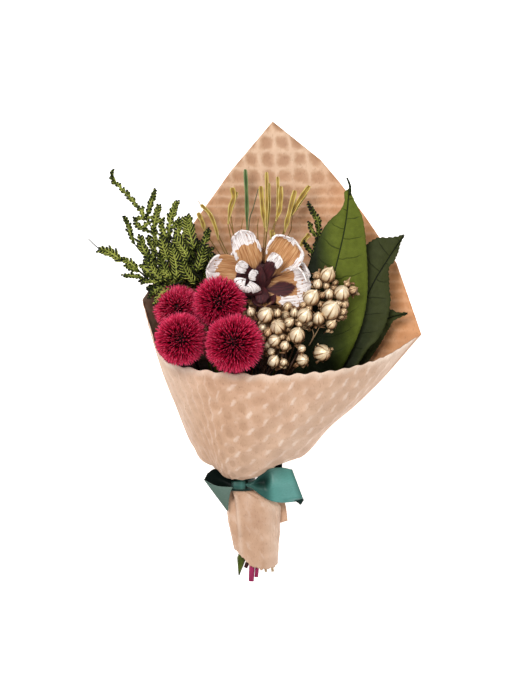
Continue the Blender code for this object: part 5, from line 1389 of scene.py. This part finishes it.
def makeGrass(name, material):
    grass = grasses[name]
    root = np.array(grass["root"])
    draw = np.random.default_rng(sum(map(ord, name)))
    shape = Shape()
    low = root + (stems["bundle"] - root) * 0.6
    shape.add(*tube(*stemLine(name, [root + (0, 6, 0), root, low]), 8), shine=0.2)
    for foot, tip in grass["stalks"]:
        foot, tip = np.array(foot, float), np.array(tip, float)
        stalk = smoothLine([root + (0, 2, 0), foot, (foot + tip) / 2 + (draw.uniform(-1, 1), 0, 0), tip], 24)
        shape.add(*tube(stalk, np.linspace(0.42, 0.28, 24), 6), shine=0.3)
    for knots, half in grass["ears"]:
        knots = np.array(knots, float)
        stalk = smoothLine([root + (0, 2, 0), root + (knots[0] - root) * 0.6, knots[0]], 14)
        shape.add(*tube(stalk, 0.38, 6), shine=0.3)
        share = np.linspace(0, 1, 40)[:, None]
        across = np.linspace(-1, 1, 9)[None, :]
        line = smoothLine(knots, 40)
        side = unit(np.cross(unit(np.gradient(line, axis=0)), (0, 0, 1)))
        wavy = 1 + 0.1 * np.sin(share * 14 + draw.uniform(0, 6))
        ending = np.sqrt(np.clip((1.02 - share) / 0.06, 0.05, 1))
        wide = (0.3 + (half - 0.3) * smoothStep(share, 0.0, 0.35)) * ending * wavy
        fold = 0.9 * (np.abs(across) - 0.5) * wide
        twist = draw.uniform(-0.6, 0.6) * np.sin(share * 5 + draw.uniform(0, 6))
        bladeGrid = line[:, None] + side[:, None] * (wide * across)[..., None]
        bladeGrid[..., 2] += fold + twist * across * wide
        bladePoints, bladeFaces = thickSheet(bladeGrid, 0.3)
        shine = 0.34 + 0.5 * np.abs(across) ** 2 + 0.1 * np.sin(share * 19 + half * 40)
        shape.add(bladePoints, bladeFaces, shine=shine)
        for edge in (-1, 1):  # the two thick edges of the folded blade
            rim = line + side * (wide * edge)
            rim[:, 2] += 0.35 + (twist * edge * wide)[:, 0]
            girth = 0.26 * np.sqrt(np.clip((1.02 - share[:, 0]) / 0.04, 0.05, 1))
            shape.add(*tube(rim, girth, 6), shine=0.85)
    return finishPiece(camelCase(name), shape, material, [name])


# Band round the stems

def tapeMaterial():
    # Green floral tape: waxed crepe paper, matt, with fine crinkles across it
    material, tree, shader, _ = startMaterial("floralTape", {"Roughness": 0.7, "IOR": 1.5})
    place = addNode(tree, "TexCoord").outputs["Object"]
    across = addNode(tree, "Mapping", {"Vector": place, "Scale": (1.0, 0.3, 1.0)})
    crinkle = addNode(tree, "TexNoise", {"Vector": across, "Scale": 1 / (0.7 * mm), "Detail": 3.0})
    colour = addNode(tree, "ValToRGB", (crinkle,), {0.3: "#1c3a1a", 0.7: "#3d6a34"})
    bump = addNode(tree, "Bump", {"Height": crinkle, "Distance": 0.2 * mm})
    connect(tree, shader, {"Base Color": colour, "Normal": bump})
    return material


def makeTie(material):
    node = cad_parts["stem_tie"]
    node.data.materials.clear()
    node.data.materials.append(material)
    print("stem_tie: the plain solid, with tape on it")


# Table, light and camera

studio = {
    "cameraHeight": 1500.0, "lens": 107.9, "sensor": 36.0,
    # lamp: place, size and power
    "key": ((-290.0, 380.0, 1020.0), 480.0, 9.4), "fill": ((500.0, -350.0, 800.0), 700.0, 2.5),
    "sky": 0.41, "table": "#f4f2ef", "glow": 0.75, "tableWidth": 6000.0, "tableDrop": 0.3,
}


def makeStudio():
    middle = Vector(boxShift) * mm
    # smooth pale laminate, lit from below as well, so that shadows stay faint
    floorMaterial, tree, shader, _ = startMaterial("paleTable", {
        "Roughness": 0.9, "Emission Color": hexColour("#ffffff"), "Emission Strength": studio["glow"]})
    place = addNode(tree, "TexCoord").outputs["Object"]
    cloud = addNode(tree, "TexNoise", {"Vector": place, "Scale": 1 / (400.0 * mm), "Detail": 1.0})
    colour = addNode(tree, "ValToRGB", (cloud,), {0.0: studio["table"], 1.0: "#ffffff"})
    connect(tree, shader, {"Base Color": colour})
    mesh = bpy.data.meshes.new("table")
    half = studio["tableWidth"] / 2 * mm
    corners = [(-half, -half, 0), (half, -half, 0), (half, half, 0), (-half, half, 0)]
    mesh.from_pydata(corners, [], [(0, 1, 2, 3)])
    mesh.materials.append(floorMaterial)
    table = bpy.data.objects.new("table", mesh)
    table.location = (0, 0, -studio["tableDrop"] * mm)
    bpy.context.scene.collection.objects.link(table)
    for name in ("key", "fill"):
        place, size, power = studio[name]
        lamp = bpy.data.lights.new(name, "AREA")
        lamp.energy, lamp.size = power, size * mm
        holder = bpy.data.objects.new(name, lamp)
        holder.location = middle + Vector(place) * mm
        holder.rotation_euler = (middle - holder.location).to_track_quat("-Z", "Y").to_euler()
        bpy.context.scene.collection.objects.link(holder)
    world = bpy.data.worlds.new("studio")
    world.use_nodes = True
    background = world.node_tree.nodes["Background"]
    background.inputs["Color"].default_value = (1, 1, 1, 1)
    background.inputs["Strength"].default_value = studio["sky"]
    bpy.context.scene.world = world
    bpy.context.scene.view_settings.view_transform = "Standard"
    camera = bpy.data.cameras.new("camera")
    camera.lens, camera.sensor_width = studio["lens"], studio["sensor"]
    holder = bpy.data.objects.new("camera", camera)
    holder.location = (middle.x, middle.y, studio["cameraHeight"] * mm)
    bpy.context.scene.collection.objects.link(holder)
    bpy.context.scene.camera = holder
    print("studio: table, two lamps, sky and camera")


makeStudio()
paper = kraftMaterial()
makePouch(paper)
makeHandle(paper)
makeRibbon(satinMaterial())
bristles = bloomMaterial()
for name in heads["places"]:
    makeHead(name, bristles)
makePinecone(coneMaterial())
gold = goldMaterial()
for name in pods["places"]:
    makeSeedSpray(name, gold)
olive = leafMaterial("oliveLeaf", *leafBlade["olive"])
deep = leafMaterial("deepGreenLeaf", *leafBlade["deep"])
makeLeaf("leaf_front", olive)
makeLeaf("leaf_middle", deep)
makeLeaf("leaf_back", deep)
cypress = coniferMaterial()
for name in conifers:
    makeConifer(name, cypress)
straw = grassMaterial("goldenStraw")
blade = grassMaterial("greenStraw")
for name in grasses:
    makeGrass(name, blade if name == "grass_green" else straw)
makeTie(tapeMaterial())
